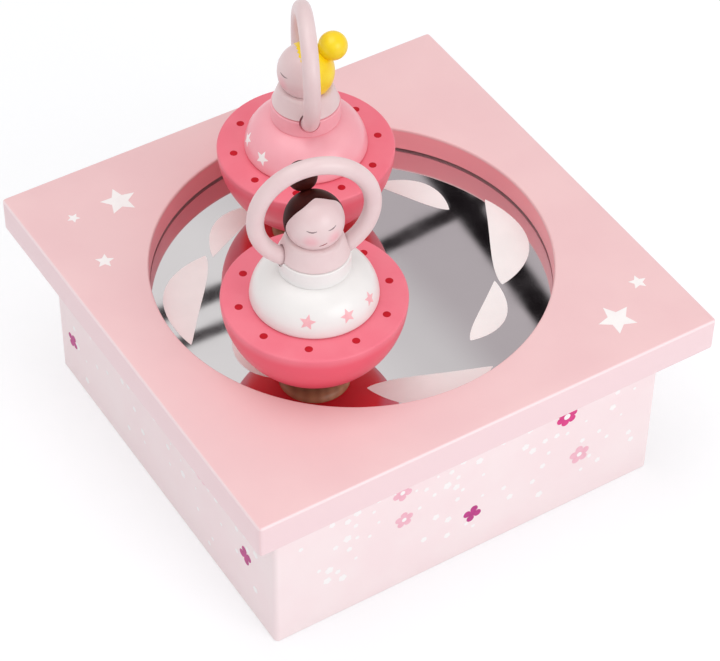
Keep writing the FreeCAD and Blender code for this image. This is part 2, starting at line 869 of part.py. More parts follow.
def cylinder_sleeve():
    tube = rod(cylinder_radius, 0, cylinder_length)
    tube = tube.cut(rod(cylinder_radius - cylinder_wall, 0, cylinder_length))
    pin_length = pin_height + cylinder_wall / 2
    pins = []
    for note in range(note_count):
        for pin in range(pins_per_note):
            angle = 360.0 * pin / pins_per_note + pin_stagger * note
            x, y = polar(cylinder_radius - cylinder_wall / 2, angle)
            height = cylinder_margin + (note + 0.5) * note_pitch
            pins.append(Part.makeCylinder(pin_radius, pin_length, at(x, y, height), at(x, y, 0)))
    return onto_x_axis(fuse_all(tube, pins), cylinder_start, 0)


def cylinder_ends():
    inner = cylinder_radius - cylinder_wall
    plates = []
    for start in (cylinder_start, cylinder_end - cylinder_end_thickness):
        end = start + cylinder_end_thickness
        plate = rod_along_x(inner, start, end, 0, axis_level)
        plates.append(plate.cut(rod_along_x(axle_radius, start, end, 0, axis_level)))
    return Part.makeCompound(plates)


def cylinder_axle():
    return rod_along_x(axle_radius, pinion_start, gear_end, 0, axis_level)


def cylinder_pinion():
    # A gap, not a tooth, faces down onto the crown tooth at +X.
    wheel = toothed_wheel(pinion_teeth, pinion_radius, crown_addendum, crown_dedendum, tooth_share,
                          0, crown_face, 180.0 / pinion_teeth)
    wheel = wheel.cut(rod(axle_radius, 0, crown_face))
    return onto_x_axis(wheel, pinion_start, 0)


def cylinder_gear():
    # A tooth points along +Y, into the governor pinion.
    wheel = toothed_wheel(cylinder_gear_teeth, cylinder_gear_radius, gear_addendum, gear_dedendum,
                          tooth_share, 0, gear_width, 90)
    wheel = wheel.cut(rod(axle_radius, 0, gear_width))
    return onto_x_axis(wheel, gear_start, 0)


def comb():
    # Eighteen teeth cut from one plate; the bass teeth are the long ones.
    low = axis_level - comb_thickness / 2
    high = axis_level + comb_thickness / 2
    first = cylinder_start + cylinder_margin
    plate = block((first, cylinder_end - cylinder_margin), (comb_rear, comb_front), (low, high))
    hole = small_screw_radius + screw_hole_clearance
    cuts = [rod(hole, low, high, x, y) for x, y in comb_screw_places()]
    for gap in range(1, note_count):
        share = gap / note_count
        depth = comb_bass_tooth + (comb_treble_tooth - comb_bass_tooth) * share
        slot = about(first + gap * note_pitch, comb_slot / 2)
        cuts.append(block(slot, (comb_front - depth, comb_front), (low, high)))
    return cut_all(plate, cuts)


def comb_screws():
    seat = axis_level + comb_thickness / 2
    tip = axis_level - comb_thickness / 2 - small_screw_bite
    return screws(small_screw_radius, seat, tip, comb_screw_places())


# Bearings and governor

def bearing(start, axes, bore_radii, foot, tab, name):
    # An upright with a round head at each axis, a low wall and a foot tab with a screw hole.
    end = start + bearing_thickness
    heads = []
    for y in axes:
        heads.append(rod_along_x(bearing_head_radius, start, end, y, axis_level))
        heads.append(block((start, end), about(y, bearing_head_radius), (bed_top, axis_level)))
    low_wall = block((start, end), foot, (bed_top, bed_top + bearing_low_wall))
    tab_high = bed_top + bearing_foot_thickness
    x, y = bearing_screw_places()[name]
    plate = block(tab, about(y, tab_half), (bed_top, tab_high))
    body = fuse_all(heads[0], heads[1:] + [low_wall, plate])
    bores = [rod_along_x(radius + running_clearance, start, end, y, axis_level)
             for y, radius in zip(axes, bore_radii)]
    hole = rod(small_screw_radius + screw_hole_clearance, bed_top, tab_high, x, y)
    return cut_all(body, bores + [hole])


def left_bearing():
    x, y = bearing_screw_places()["left_bearing"]
    return bearing(left_bearing_start, [0], [axle_radius], (-bearing_head_radius, y + tab_half),
                   (left_bearing_start, x + tab_half), "left_bearing")


def right_bearing():
    x, y = bearing_screw_places()["right_bearing"]
    return bearing(right_bearing_start, [0, governor_axis_y], [axle_radius, governor_arbor_radius],
                   (-bearing_head_radius, y + tab_half),
                   (x - tab_half, right_bearing_start + bearing_thickness), "right_bearing")


def governor_bearing():
    y = bearing_screw_places()["governor_bearing"][1]
    return bearing(governor_bearing_start, [governor_axis_y], [governor_arbor_radius],
                   (y - tab_half, governor_axis_y + bearing_head_radius),
                   (gear_end + tab_gap, governor_bearing_end), "governor_bearing")


def bearing_screws():
    seat = bed_top + bearing_foot_thickness
    tip = bed_top - small_screw_bite
    return screws(small_screw_radius, seat, tip, bearing_screw_places().values())


def governor_arbor():
    shaft = rod_along_x(governor_arbor_radius, right_bearing_start, governor_bearing_end,
                        governor_axis_y, axis_level)
    gap_to_gear = -90 + 180.0 / governor_pinion_teeth
    leaves = toothed_wheel(governor_pinion_teeth, governor_pinion_radius, gear_addendum, gear_dedendum,
                           tooth_share, 0, gear_width, gap_to_gear)
    return shaft.fuse(onto_x_axis(leaves, gear_start, governor_axis_y)).removeSplitter()


def worm_wheel():
    # A gap, not a tooth, points along +Y at the worm's thread.
    wheel = toothed_wheel(worm_wheel_teeth, worm_wheel_radius, gear_addendum, gear_dedendum,
                          worm_tooth_share, 0, worm_wheel_width, 90 + 180.0 / worm_wheel_teeth)
    wheel = wheel.cut(rod(governor_arbor_radius, 0, worm_wheel_width))
    return onto_x_axis(wheel, worm_wheel_start, governor_axis_y)


def worm_thread():
    # A right-hand thread that crosses the wheel's level on the side that faces the wheel.
    length = worm_turns * worm_pitch
    helix = Part.makeHelix(worm_pitch, length, worm_core_radius)
    inner = worm_core_radius - worm_thread_sink
    outer = worm_radius + worm_addendum
    profile = [at(inner, 0, -worm_base / 2), at(outer, 0, -worm_crest / 2),
               at(outer, 0, worm_crest / 2), at(inner, 0, worm_base / 2)]
    wire = Part.makePolygon(profile + [profile[0]])
    thread = Part.Wire(helix).makePipeShell([wire], True, True)
    thread.rotate(ORIGIN, UP, -90)
    thread.translate(at(worm_x, worm_y, axis_level - length / 2 + (worm_turns % 2) * worm_pitch / 2))
    return thread


def worm_spindle():
    low = bed_top - pivot_depth + running_clearance
    shoulder_low = bed_top + pivot_end_shake
    shoulder_high = cock_low - pivot_end_shake
    half = worm_turns * worm_pitch / 2 + worm_pitch
    core = lathe(steps([
        (0, low), (pivot_radius, low), (pivot_radius, shoulder_low), (governor_spindle_radius, shoulder_low),
        (governor_spindle_radius, axis_level - half), (worm_core_radius, axis_level - half),
        (worm_core_radius, axis_level + half), (governor_spindle_radius, axis_level + half),
        (governor_spindle_radius, shoulder_high), (pivot_radius, shoulder_high), (pivot_radius, cock_high),
        (0, cock_high),
    ]))
    core.translate(at(worm_x, worm_y, 0))
    return core.fuse(worm_thread()).removeSplitter()


def fly():
    # Two flat vanes on a hub; the air on them holds the tune to its speed.
    hub_radius = governor_spindle_radius * 2
    hub = rod(hub_radius, fly_low, fly_high, worm_x, worm_y)
    half_width = fly_width / 2
    half = fly_thickness / 2
    vanes = block(about(worm_x, half_width), about(worm_y, half), (fly_low, fly_high))
    return fuse_all(hub, [vanes]).cut(rod(governor_spindle_radius, fly_low, fly_high, worm_x, worm_y))


def governor_cock():
    # A post and an overhanging arm that carries the worm spindle's upper pivot.
    x, y = cock_screw_place()
    width = about(worm_x, post_half)
    post = block(width, about(y, post_half), (bed_top, cock_high))
    arm = block(width, (worm_y - post_half, y + post_half), (cock_low, cock_high))
    tab_high = bed_top + bearing_foot_thickness
    tab = block((x - post_half, worm_x), about(y, post_half), (bed_top, tab_high))
    body = fuse_all(post, [arm, tab])
    pivot = rod(pivot_radius + running_clearance, cock_low, cock_high, worm_x, worm_y)
    hole = rod(small_screw_radius + screw_hole_clearance, bed_top, tab_high, x, y)
    return cut_all(body, [pivot, hole])


def cock_screw():
    x, y = cock_screw_place()
    return screw(small_screw_radius, bed_top + bearing_foot_thickness, bed_top - small_screw_bite, x, y)


def all_pieces():
    pieces = dict(walls())
    pieces["top_plate"] = top_plate()
    pieces["mirror"] = mirror()
    pieces["floor_board"] = floor_board()
    pieces["corner_blocks"] = corner_blocks()
    pieces["floor_screws"] = floor_screws()
    pieces.update(dancer("front_dancer", front_dancer_orbit, front_dancer_bearing, front_dancer_turn))
    pieces.update(dancer("rear_dancer", rear_dancer_orbit, rear_dancer_bearing, rear_dancer_turn))
    for make in (bedplate, bed_screws, winding_arbor, ratchet_wheel, click, click_screw, winding_key,
                 spring_barrel, barrel_lid, mainspring, drive_spindle, magnet_arm, arm_magnets, arm_nut,
                 cylinder_sleeve, cylinder_ends, cylinder_axle, cylinder_pinion, cylinder_gear,
                 comb, comb_screws, left_bearing, right_bearing, governor_bearing, bearing_screws,
                 governor_arbor, worm_wheel, worm_spindle, fly, governor_cock, cock_screw):
        pieces[make.__name__] = make()
    return pieces


def main():
    os.makedirs("parts", exist_ok=True)
    for name, shape in all_pieces().items():
        shape.exportStep(os.path.join("parts", name + ".step"))
        print(name, "solids", len(shape.Solids), "valid", shape.isValid(), "volume", round(shape.Volume, 2))


if __name__ == "__main__":
    main()
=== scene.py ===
import json
import bmesh
import bpy
from math import acos, asin, atan2, cos, degrees, hypot, pi, radians, sin, sqrt
from mathutils import Matrix, Vector


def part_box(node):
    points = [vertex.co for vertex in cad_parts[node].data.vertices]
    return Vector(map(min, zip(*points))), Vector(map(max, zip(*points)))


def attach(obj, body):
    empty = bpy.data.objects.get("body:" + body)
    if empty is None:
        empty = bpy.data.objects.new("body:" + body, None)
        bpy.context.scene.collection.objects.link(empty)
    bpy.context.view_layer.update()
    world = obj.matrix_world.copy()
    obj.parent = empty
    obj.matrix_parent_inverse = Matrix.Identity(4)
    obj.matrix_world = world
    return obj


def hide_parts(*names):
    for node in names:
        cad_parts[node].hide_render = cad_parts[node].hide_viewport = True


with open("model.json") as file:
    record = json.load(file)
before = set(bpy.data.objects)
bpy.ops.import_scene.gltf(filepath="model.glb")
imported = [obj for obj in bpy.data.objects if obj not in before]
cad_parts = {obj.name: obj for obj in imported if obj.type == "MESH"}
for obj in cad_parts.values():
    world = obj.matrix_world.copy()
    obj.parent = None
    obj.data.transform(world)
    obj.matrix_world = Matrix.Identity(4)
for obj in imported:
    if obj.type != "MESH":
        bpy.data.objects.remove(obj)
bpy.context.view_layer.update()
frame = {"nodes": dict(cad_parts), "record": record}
nodes = frame["nodes"]
mm = 0.001
fullTurn = 2 * pi
print("frame loaded with", len(nodes), "CAD pieces")


# Shader and geometry sockets that can be added, scaled and mixed

class Wire:
    def __init__(self, tree, socket=None):
        self.tree = tree
        self.socket = socket

    def node(self, kind, sockets=None, pick=0, **settings):
        # A new node with its settings and its sockets filled or linked; gives back one of its outputs
        made = self.tree.nodes.new(kind)
        for key, value in settings.items():
            setattr(made, key, value)
        for key, value in (sockets or {}).items():
            for one in value if isinstance(value, list) else [value]:
                if isinstance(one, Wire):
                    self.tree.links.new(one.socket, made.inputs[key])
                else:
                    made.inputs[key].default_value = one
        return Wire(self.tree, made.outputs[pick] if made.outputs else None)

    def beside(self, pick):
        # Another output of the same node
        return Wire(self.tree, self.socket.node.outputs[pick])

    def maths(self, operation, first, second):
        return self.node("ShaderNodeMath", {0: first, 1: second}, operation=operation)

    def apply(self, operation):
        return self.node("ShaderNodeMath", {0: self}, operation=operation)

    def scaled(self, factor):
        # self is a vector
        return self.node("ShaderNodeVectorMath", {0: self, "Scale": factor}, operation="SCALE")

    def ease(self, low, high):
        # 0 below low, 1 above high, smooth between
        return self.node("ShaderNodeMapRange", {0: self, 1: low, 2: high}, interpolation_type="SMOOTHSTEP")

    def band(self, middle, half, soft):
        # 1 within half of the middle, 0 outside, with soft edges
        return self.ease(middle - half - soft, middle - half + soft) * (
            1.0 - self.ease(middle + half - soft, middle + half + soft))

    def mix(self, first, second):
        return self.node("ShaderNodeMix", {0: self, 6: first, 7: second}, 2, data_type="RGBA")

    def noise(self, size, detail=3.0, roughness=0.5, stretch=(1, 1, 1)):
        # self is a place in millimetres, size the width of one patch
        place = self.node("ShaderNodeVectorMath", {0: self, 1: stretch}, operation="MULTIPLY")
        return self.node("ShaderNodeTexNoise",
                         {"Vector": place, "Scale": 1.0 / size, "Detail": detail, "Roughness": roughness})

    def parts(self):
        split = self.node("ShaderNodeSeparateXYZ", {0: self})
        return split, split.beside(1), split.beside(2)

    def blend(self, look):
        # From a look's deep tone to its colour
        return self.mix(tint(*look["deep"]), tint(*look["colour"]))


# The signs between wires and numbers, with either of them on the left
signs = dict(add="ADD", sub="SUBTRACT", mul="MULTIPLY", truediv="DIVIDE", pow="POWER")
for sign, operation in signs.items():
    setattr(Wire, "__%s__" % sign, lambda self, other, kind=operation: self.maths(kind, self, other))
    setattr(Wire, "__r%s__" % sign, lambda self, other, kind=operation: self.maths(kind, other, self))


def tint(red, green, blue):
    # A colour as a picture shows it, in the 0 to 255 of a screen, turned into light
    def light(value):
        value = value / 255
        return value / 12.92 if value <= 0.04045 else ((value + 0.055) / 1.055) ** 2.4
    return (light(red), light(green), light(blue), 1.0)


def newMaterial(name, middle=(0, 0, 0), turn=0.0):
    # An empty material and the place in it, in millimetres from a middle in metres, with the piece's own turn
    material = bpy.data.materials.new(name)
    material.use_nodes = True
    material.node_tree.nodes.clear()
    paint = Wire(material.node_tree)
    coordinates = paint.node("ShaderNodeTexCoord", pick="Object")
    place = {"Vector": coordinates, "Location": middle, "Rotation": (0, 0, turn), "Scale": (mm, mm, mm)}
    return material, paint.node("ShaderNodeMapping", place, vector_type="TEXTURE")


def closeMaterial(place, colour, roughness, height, depth=0.02, metallic=0.0, coat=0.0, specular=0.5):
    # Ends a material; height drives its bump, whose depth is in millimetres
    bump = place.node("ShaderNodeBump", {"Strength": 1.0, "Distance": depth * mm, "Height": height})
    shader = place.node("ShaderNodeBsdfPrincipled", {
        "Base Color": colour, "Roughness": roughness, "Metallic": metallic, "Coat Weight": coat,
        "Coat Roughness": 0.12, "Specular IOR Level": specular, "Normal": bump})
    place.node("ShaderNodeOutputMaterial", {"Surface": shader})


glossSwing = 0.06  # how far the roughness of paint strays either way


def paintMaterial(name, look, middle=(0, 0, 0), turn=0.0, layers=None):
    # Sprayed paint: a cloudy colour, an uneven gloss and a fine orange-peel skin.
    # layers may lay more colours over it; it gets the place and the colour.
    material, place = newMaterial(name, middle, turn)
    cloud = place.noise(look["patch"], 4.0).ease(0.3, 0.7)
    colour = cloud.blend(look)
    if layers:
        colour = layers(place, colour)
    shine = place.noise(look["patch"] * 0.3)
    roughness = look["rough"] - glossSwing + 2 * glossSwing * shine
    peel = place.noise(look["peel"], 2.0)
    closeMaterial(place, colour, roughness, peel, look["peelDepth"], 0.0, look["coat"], look.get("specular", 0.5))
    return material


woodGrain = dict(warpSize=7.0, warp=2.5, poreSize=0.5, poreStretch=(1.0, 0.12, 0.5), poreShare=0.3)


def woodMaterial(name, look, middle=(0, 0, 0), turn=0.0):
    # Bare turned wood: bands of grain that run across the piece, fine pores along them
    material, place = newMaterial(name, middle, turn)
    warp = place.noise(woodGrain["warpSize"], 2.0)
    x = place.parts()[0]
    bands = ((x + woodGrain["warp"] * warp) / look["ringGap"] * fullTurn).apply("SINE") * 0.5 + 0.5
    pores = place.noise(woodGrain["poreSize"], 4.0, 0.6, woodGrain["poreStretch"])
    share = woodGrain["poreShare"]
    colour = (bands * (1 - share) + pores * share).blend(look)
    closeMaterial(place, colour, look["rough"] + 0.15 * pores, pores, coat=0.1)
    return material


# Meshes made of points in millimetres

def addObject(name, data):
    made = bpy.data.objects.new(name, data)
    bpy.context.scene.collection.objects.link(made)
    return made


def meshOf(name, points, faces=(), edges=()):
    mesh = bpy.data.meshes.new(name)
    mesh.from_pydata([Vector(point) * mm for point in points], edges, faces)
    return mesh


def faceOutwards(mesh):
    work = bmesh.new()
    work.from_mesh(mesh)
    bmesh.ops.recalc_face_normals(work, faces=work.faces)
    work.to_mesh(mesh)
    work.free()


def dress(mesh, material):
    mesh.materials.clear()
    mesh.materials.append(material)


def baked(piece):
    # The mesh that a piece's modifiers make
    view = bpy.context.evaluated_depsgraph_get()
    return bpy.data.meshes.new_from_object(piece.evaluated_get(view))


def finishPiece(name, mesh, material, body, stands=(), sharp=38.0):
    # stands are the CAD pieces that this one stands for
    faceOutwards(mesh)
    mesh.shade_smooth()
    mesh.set_sharp_from_angle(angle=radians(sharp))
    dress(mesh, material)
    piece = addObject(name, mesh)
    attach(piece, body)
    if stands:
        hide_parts(*stands)
    return piece


def cutAway(kept, taken):
    # The first mesh less the second
    faceOutwards(kept)
    faceOutwards(taken)
    piece = addObject("kept", kept)
    cutter = addObject("taken", taken)
    cut = piece.modifiers.new("cut", "BOOLEAN")
    cut.operation = "DIFFERENCE"
    cut.solver = "EXACT"
    cut.object = cutter
    mesh = baked(piece)
    bpy.data.objects.remove(piece)
    bpy.data.objects.remove(cutter)
    return mesh


def shares(steps):
    # Even steps from 0 to 1
    return [step / steps for step in range(steps + 1)]


def arcFrom(start, corner, end, steps=8):
    # A soft corner of a profile: leaves start towards the corner and comes in to end
    return [tuple((1 - t) ** 2 * a + 2 * t * (1 - t) * b + t * t * c for a, b, c in zip(start, corner, end))
            for t in shares(steps)]


def bowed(start, end, rise, steps):
    # A profile line that bows out to its right by rise
    dx = end[0] - start[0]
    dz = end[1] - start[1]
    length = hypot(dx, dz)
    found = []
    for t in shares(steps):
        bow = 4 * rise * t * (1 - t)
        found.append((start[0] + dx * t + dz / length * bow, start[1] + dz * t - dx / length * bow))
    return found


def circleArc(middle, radius, first, last, steps):
    # Angles in degrees, 0 outwards and 90 up
    angles = [radians(first + (last - first) * t) for t in shares(steps)]
    return [(middle[0] + radius * cos(angle), middle[1] + radius * sin(angle)) for angle in angles]


def loft(loops, closed=False, capped=False):
    # Points and faces of loops joined one to the next, where a loop of one point is a tip
    points = []
    rings = []
    for loop in loops:
        rings.append(list(range(len(points), len(points) + len(loop))))
        points += loop
    faces = []
    for low, high in zip(rings, rings[1:] + rings[:1] if closed else rings[1:]):
        count = max(len(low), len(high))
        for step in range(count):
            after = (step + 1) % count
            corners = ((low, step), (low, after), (high, after), (high, step))
            faces.append(list(dict.fromkeys(ring[place % len(ring)] for ring, place in corners)))
    return points, faces + [rings[0], rings[-1]] if capped else faces


def turned(profile, count=144):
    # A profile of (radius, height) that starts and ends on the axis, turned round it
    ways = [(cos(fullTurn * step / count), sin(fullTurn * step / count)) for step in range(count)]
    return loft([[(radius * x, radius * y, height) for x, y in (ways if radius > 1e-4 else [(0, 0)])]
                 for radius, height in profile])


# Printed marks grown with geometry nodes: thin closed solids that lie on a surface, in metres

printThickness = 0.06 * mm
printSink = 0.02 * mm
printWeld = 0.001 * mm
flowerForm = dict(points=72, fullness=0.6)
leafForm = dict(points=48, fullness=0.35, belly=1.15, taper=0.5, bow=0.5, tipLean=0.6, tipSize=0.3)
scatterForm = dict(leastShare=0.12, density=120000.0)


def newTree(name, **inputs):
    # inputs are the names of the tree's sockets by kind; each tree also has a thickness and a material
    tree = bpy.data.node_groups.new(name, "GeometryNodeTree")
    tree.interface.new_socket("Geometry", in_out="OUTPUT", socket_type="NodeSocketGeometry")
    for kind, labels in [*inputs.items(), ("Float", ["Thickness"]), ("Material", ["Material"])]:
        for label in labels:
            tree.interface.new_socket(label, in_out="INPUT", socket_type="NodeSocket" + kind)
    start = Wire(tree).node("NodeGroupInput")
    return tree, start, start.beside


def filledRing(start, points, radius, place):
    # A circle whose points move to place, filled
    ring = start.node("GeometryNodeCurvePrimitiveCircle", {"Resolution": points, "Radius": radius}, mode="RADIUS")
    shaped = start.node("GeometryNodeSetPosition", {"Geometry": ring, "Position": place})
    return start.node("GeometryNodeFillCurve", {"Curve": shaped}, mode="TRIANGLES")


def flowerFace(start, petals, depth):
    # A flat flower of radius 1, or a dot where depth is 0
    place = start.node("GeometryNodeInputPosition")
    x, y = place.parts()[:2]
    petal = (start.maths("ARCTAN2", y, x) * petals * 0.5).apply("COSINE").apply("ABSOLUTE")
    reach = 1.0 - depth * (1.0 - petal ** flowerForm["fullness"])
    return filledRing(start, flowerForm["points"], 1.0, place.scaled(reach))


def starFace(start, tips, waist):
    outline = start.node("GeometryNodeCurveStar", {"Points": tips, "Inner Radius": waist, "Outer Radius": 1.0})
    filled = start.node("GeometryNodeFillCurve", {"Curve": outline}, mode="TRIANGLES")
    return start.node("GeometryNodeSubdivideMesh", {"Mesh": filled, "Level": 3})


def leafFace(start, width):
    # A bowed leaf of length 1 that starts at its stalk, with a point at each end
    x, y = start.node("GeometryNodeInputPosition").parts()[:2]
    belly = start.maths("MAXIMUM", 1.0 - 4.0 * x * x, 0.0) ** leafForm["fullness"]
    across = y * belly * width * (leafForm["belly"] - leafForm["taper"] * x)
    bow = leafForm["bow"] * (x * x - 0.25)
    place = start.node("ShaderNodeCombineXYZ", {0: x + 0.5, 1: across + bow, 2: 0.0})
    return filledRing(start, leafForm["points"], 0.5, place)


def facing(start, primary, secondary):
    # A turn that points Z along the primary way and X along the secondary
    return start.node("FunctionNodeAxesToRotation", {0: primary, 1: secondary}, primary_axis="Z", secondary_axis="X")


def spun(start, turn, angle):
    # A turn with a spin about its own Z first
    spin = start.node("FunctionNodeAxisAngleToRotation", {"Axis": (0, 0, 1), "Angle": angle})
    return start.node("FunctionNodeRotateRotation", {"Rotation": turn, "Rotate By": spin}, rotation_space="LOCAL")


def strewn(start, points, face, turn, size, picked=True):
    # A face on each point, as real geometry
    marks = start.node("GeometryNodeInstanceOnPoints", {
        "Points": points, "Selection": picked, "Instance": face, "Rotation": turn, "Scale": size})
    return start.node("GeometryNodeRealizeInstances", {"Geometry": marks})


def endTree(start, flat):
    # Gives flat marks a thickness and a back, so that each is closed, and paints them
    normal = start.node("GeometryNodeInputNormal")
    sunk = start.node("GeometryNodeSetPosition", {"Geometry": flat, "Offset": normal.scaled(-printSink)})
    raised = start.node("GeometryNodeExtrudeMesh", {
        "Mesh": sunk, "Offset Scale": start.beside("Thickness"), "Individual": False}, mode="FACES")
    under = start.node("GeometryNodeFlipFaces", {"Mesh": sunk})
    joined = start.node("GeometryNodeJoinGeometry", {"Geometry": [raised, under]})
    closed = start.node("GeometryNodeMergeByDistance", {"Geometry": joined, "Distance": printWeld})
    painted = start.node("GeometryNodeSetMaterial", {"Geometry": closed, "Material": start.beside("Material")})
    start.node("NodeGroupOutput", {"Geometry": painted})


def placedMarksTree(name, star):
    # Marks at given points, each with its size and the ways it faces, laid onto a target piece
    tree, start, given = newTree(name, Geometry=["Points"], Object=["Target"], Int=["Tips"], Float=["Waist"])

    def attribute(label, kind):
        return start.node("GeometryNodeInputNamedAttribute", {"Name": label}, data_type=kind)

    if star:
        face = starFace(start, given("Tips"), given("Waist"))
    else:
        face = flowerFace(start, given("Tips"), 1.0 - given("Waist"))
    turn = facing(start, attribute("facing", "FLOAT_VECTOR"), attribute("along", "FLOAT_VECTOR"))
    marks = strewn(start, given("Points"), face, turn, attribute("size", "FLOAT"))
    target = start.node("GeometryNodeObjectInfo", {"Object": given("Target")}, "Geometry")
    near = start.node("GeometryNodeProximity", {"Geometry": target}, target_element="FACES")
    endTree(start, start.node("GeometryNodeSetPosition", {"Geometry": marks, "Position": near}))
    return tree


def printScatterTree():
    # Flowers strewn over faces, thicker towards the top, where each kind takes its own share of one scatter
    tree, start, given = newTree(
        "printScatter", Geometry=["Faces"], Int=["Seed", "Petals"],
        Float=["Spacing", "Foot", "Crown", "Pick From", "Pick To", "Least Size", "Most Size", "Depth"])
    z = start.node("GeometryNodeInputPosition").parts()[2]
    least = scatterForm["leastShare"]
    share = least + (1 - least) * z.ease(given("Foot"), given("Crown"))
    spots = start.node("GeometryNodeDistributePointsOnFaces", {
        "Mesh": given("Faces"), "Distance Min": given("Spacing"), "Density Max": scatterForm["density"],
        "Density Factor": share, "Seed": given("Seed")}, distribute_method="POISSON")
    number = start.node("GeometryNodeInputIndex")

    def chance(shift):
        return start.node("FunctionNodeRandomValue", {2: 0.0, 3: 1.0, "ID": number, "Seed": given("Seed") + shift}, 1,
                          data_type="FLOAT")

    lot = chance(1.0)
    picked = start.maths("GREATER_THAN", lot, given("Pick From")) * start.maths("LESS_THAN", lot, given("Pick To"))
    size = given("Least Size") + (given("Most Size") - given("Least Size")) * chance(2.0)
    turn = spun(start, spots.beside("Rotation"), chance(3.0) * fullTurn)
    endTree(start, strewn(start, spots, flowerFace(start, given("Petals"), given("Depth")), turn, size, picked))
    return tree


def leafSprayTree():
    # Leaves set left and right along stems, shorter towards the tip
    tree, start, given = newTree("leafSpray", Geometry=["Stems"], Int=["Leaves"],
                                 Float=["Length", "Width", "Lean", "Spread", "Side"])
    curves = start.node("GeometryNodeMeshToCurve", {"Mesh": given("Stems")})
    spots = start.node("GeometryNodeCurveToPoints", {"Curve": curves, "Count": given("Leaves")}, mode="COUNT")
    tangent = spots.beside("Tangent")
    number = start.maths("MODULO", start.node("GeometryNodeInputIndex"), given("Leaves"))
    hand = start.maths("MODULO", number, 2.0) * 2.0 - 1.0
    along = number / (given("Leaves") - 1.0)
    lean = given("Lean") + hand * given("Spread") * (1.0 - leafForm["tipLean"] * along)
    turn = spun(start, facing(start, (0, 0, 1), tangent), lean)
    size = given("Length") * (1.0 - leafForm["tipSize"] * along)
    outward = start.node("ShaderNodeVectorMath", {0: (0, 0, 1), 1: tangent}, operation="CROSS_PRODUCT")
    moved = start.node("GeometryNodeSetPosition", {"Geometry": spots, "Offset": outward.scaled(hand * given("Side"))})
    endTree(start, strewn(start, moved, leafFace(start, given("Width")), turn, size))
    return tree


def growMarks(name, seeds, tree, values, body):
    # seeds is a mesh; values are the tree's named inputs
    holder = addObject(name + "Seeds", seeds)
    growth = holder.modifiers.new("growth", "NODES")
    growth.node_group = tree
    for socket in tree.interface.items_tree:
        if socket.in_out == "INPUT" and socket.name in values:
            growth[socket.identifier] = values[socket.name]
    holder.update_tag()
    mesh = baked(holder)
    bpy.data.objects.remove(holder)
    return finishPiece(name, mesh, values["Material"], body, sharp=40.0)


def placeMarks(name, seeds, tree, target, tips, waist, material, body):
    # Each seed has a place and a size in millimetres, the way its mark faces and the way it points
    places, sizes, facings, alongs = zip(*seeds)
    mesh = meshOf("seeds", places)
    mesh.attributes.new("size", "FLOAT", "POINT").data.foreach_set("value", [size * mm for size in sizes])
    for label, ways in (("facing", facings), ("along", alongs)):
        attribute = mesh.attributes.new(label, "FLOAT_VECTOR", "POINT")
        attribute.data.foreach_set("vector", [number for way in ways for number in way])
    growMarks(name, mesh, tree, {"Target": target, "Tips": tips, "Waist": waist, "Thickness": printThickness,
                                 "Material": material}, body)


starMarks = placedMarksTree("starMarks", True)
dotMarks = placedMarksTree("dotMarks", False)
printScatter = printScatterTree()
leafSpray = leafSprayTree()


# Box, with its sizes taken from the frame in millimetres

def boxOf(node):
    low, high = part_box(node)
    return Vector(low) / mm, Vector(high) / mm


plateLow, plateHigh = boxOf("top_plate")
mirrorLow, mirrorHigh = boxOf("mirror")
wallHalf = -boxOf("front_wall")[0].y
stageTop = mirrorHigh.z
mirrorRadius = (mirrorHigh.x - mirrorLow.x) / 2

plate = dict(side=plateHigh.x - plateLow.x, low=plateLow.z, high=plateHigh.z, corner=1.2, leastCorner=0.2, edge=0.8,
             stage=mirrorRadius - 3.5, lip=0.6, rebate=mirrorRadius + 0.5, ledge=stageTop + 0.8)
plateLook = dict(colour=(243, 203, 205), deep=(240, 198, 201), patch=26.0, rough=0.42, peel=0.9, peelDepth=0.012,
                 coat=0.12)
wallLook = dict(colour=(250, 233, 234), deep=(249, 228, 230), patch=22.0, rough=0.42, peel=1.0, peelDepth=0.012,
                coat=0.1)
# Painted shade and highlights laid over the plate, and where each sets in: out from the opening, in from the edge or
# down from the top
plateTones = dict(recessShade=(250, 165, 174), recessOut=(0.05, 0.5), recessDown=(1.3, 0.5), edge=(244, 214, 218),
                  edgeIn=(0.7, 0.1), edgeGlint=(253, 231, 234), edgeGlintDown=(1.0, 0.6), edgeGlintShare=0.8)


def plateLayers(place, colour):
    # Painted shade: a deeper pink inside the round opening. Painted highlights: paler outer edges, and a paler line
    # along the top edges
    x, y, z = place.parts()

    def grow(measure, base, sign, soft):
        return measure.ease(base + sign * soft[0], base + sign * soft[1])

    reach = place.maths("MAXIMUM", x.apply("ABSOLUTE"), y.apply("ABSOLUTE"))
    # Inside the opening and below the top is painted shade; the outer band, and its top, are painted highlights
    inside = 1.0 - grow((x * x + y * y).apply("SQRT"), plate["stage"], 1, plateTones["recessOut"])
    below = 1.0 - grow(z, plate["high"], -1, plateTones["recessDown"])
    litEdgeBand = grow(reach, plate["side"] / 2, -1, plateTones["edgeIn"])
    edgeGlint = litEdgeBand * grow(z, plate["high"], -1, plateTones["edgeGlintDown"]) * plateTones["edgeGlintShare"]
    for mask, tone in ((inside * below, "recessShade"), (litEdgeBand, "edge"), (edgeGlint, "edgeGlint")):
        colour = mask.mix(colour, tint(*plateTones[tone]))
    return colour


def squareLoop(inset, sides=48, bends=8):
    # Rounded square outline of the plate, drawn in by inset: a corner and an edge, turned four times
    half = plate["side"] / 2 - inset
    radius = max(plate["corner"] - inset, plate["leastCorner"])
    flat = half - radius
    part = [(flat + radius * cos(pi / 2 * t), flat + radius * sin(pi / 2 * t)) for t in shares(bends)]
    part += [(flat * (1 - 2 * t), half) for t in shares(sides)[1:-1]]
    found = []
    for quarter in range(4):
        found += part
        part = [(-y, x) for x, y in part]
    return found


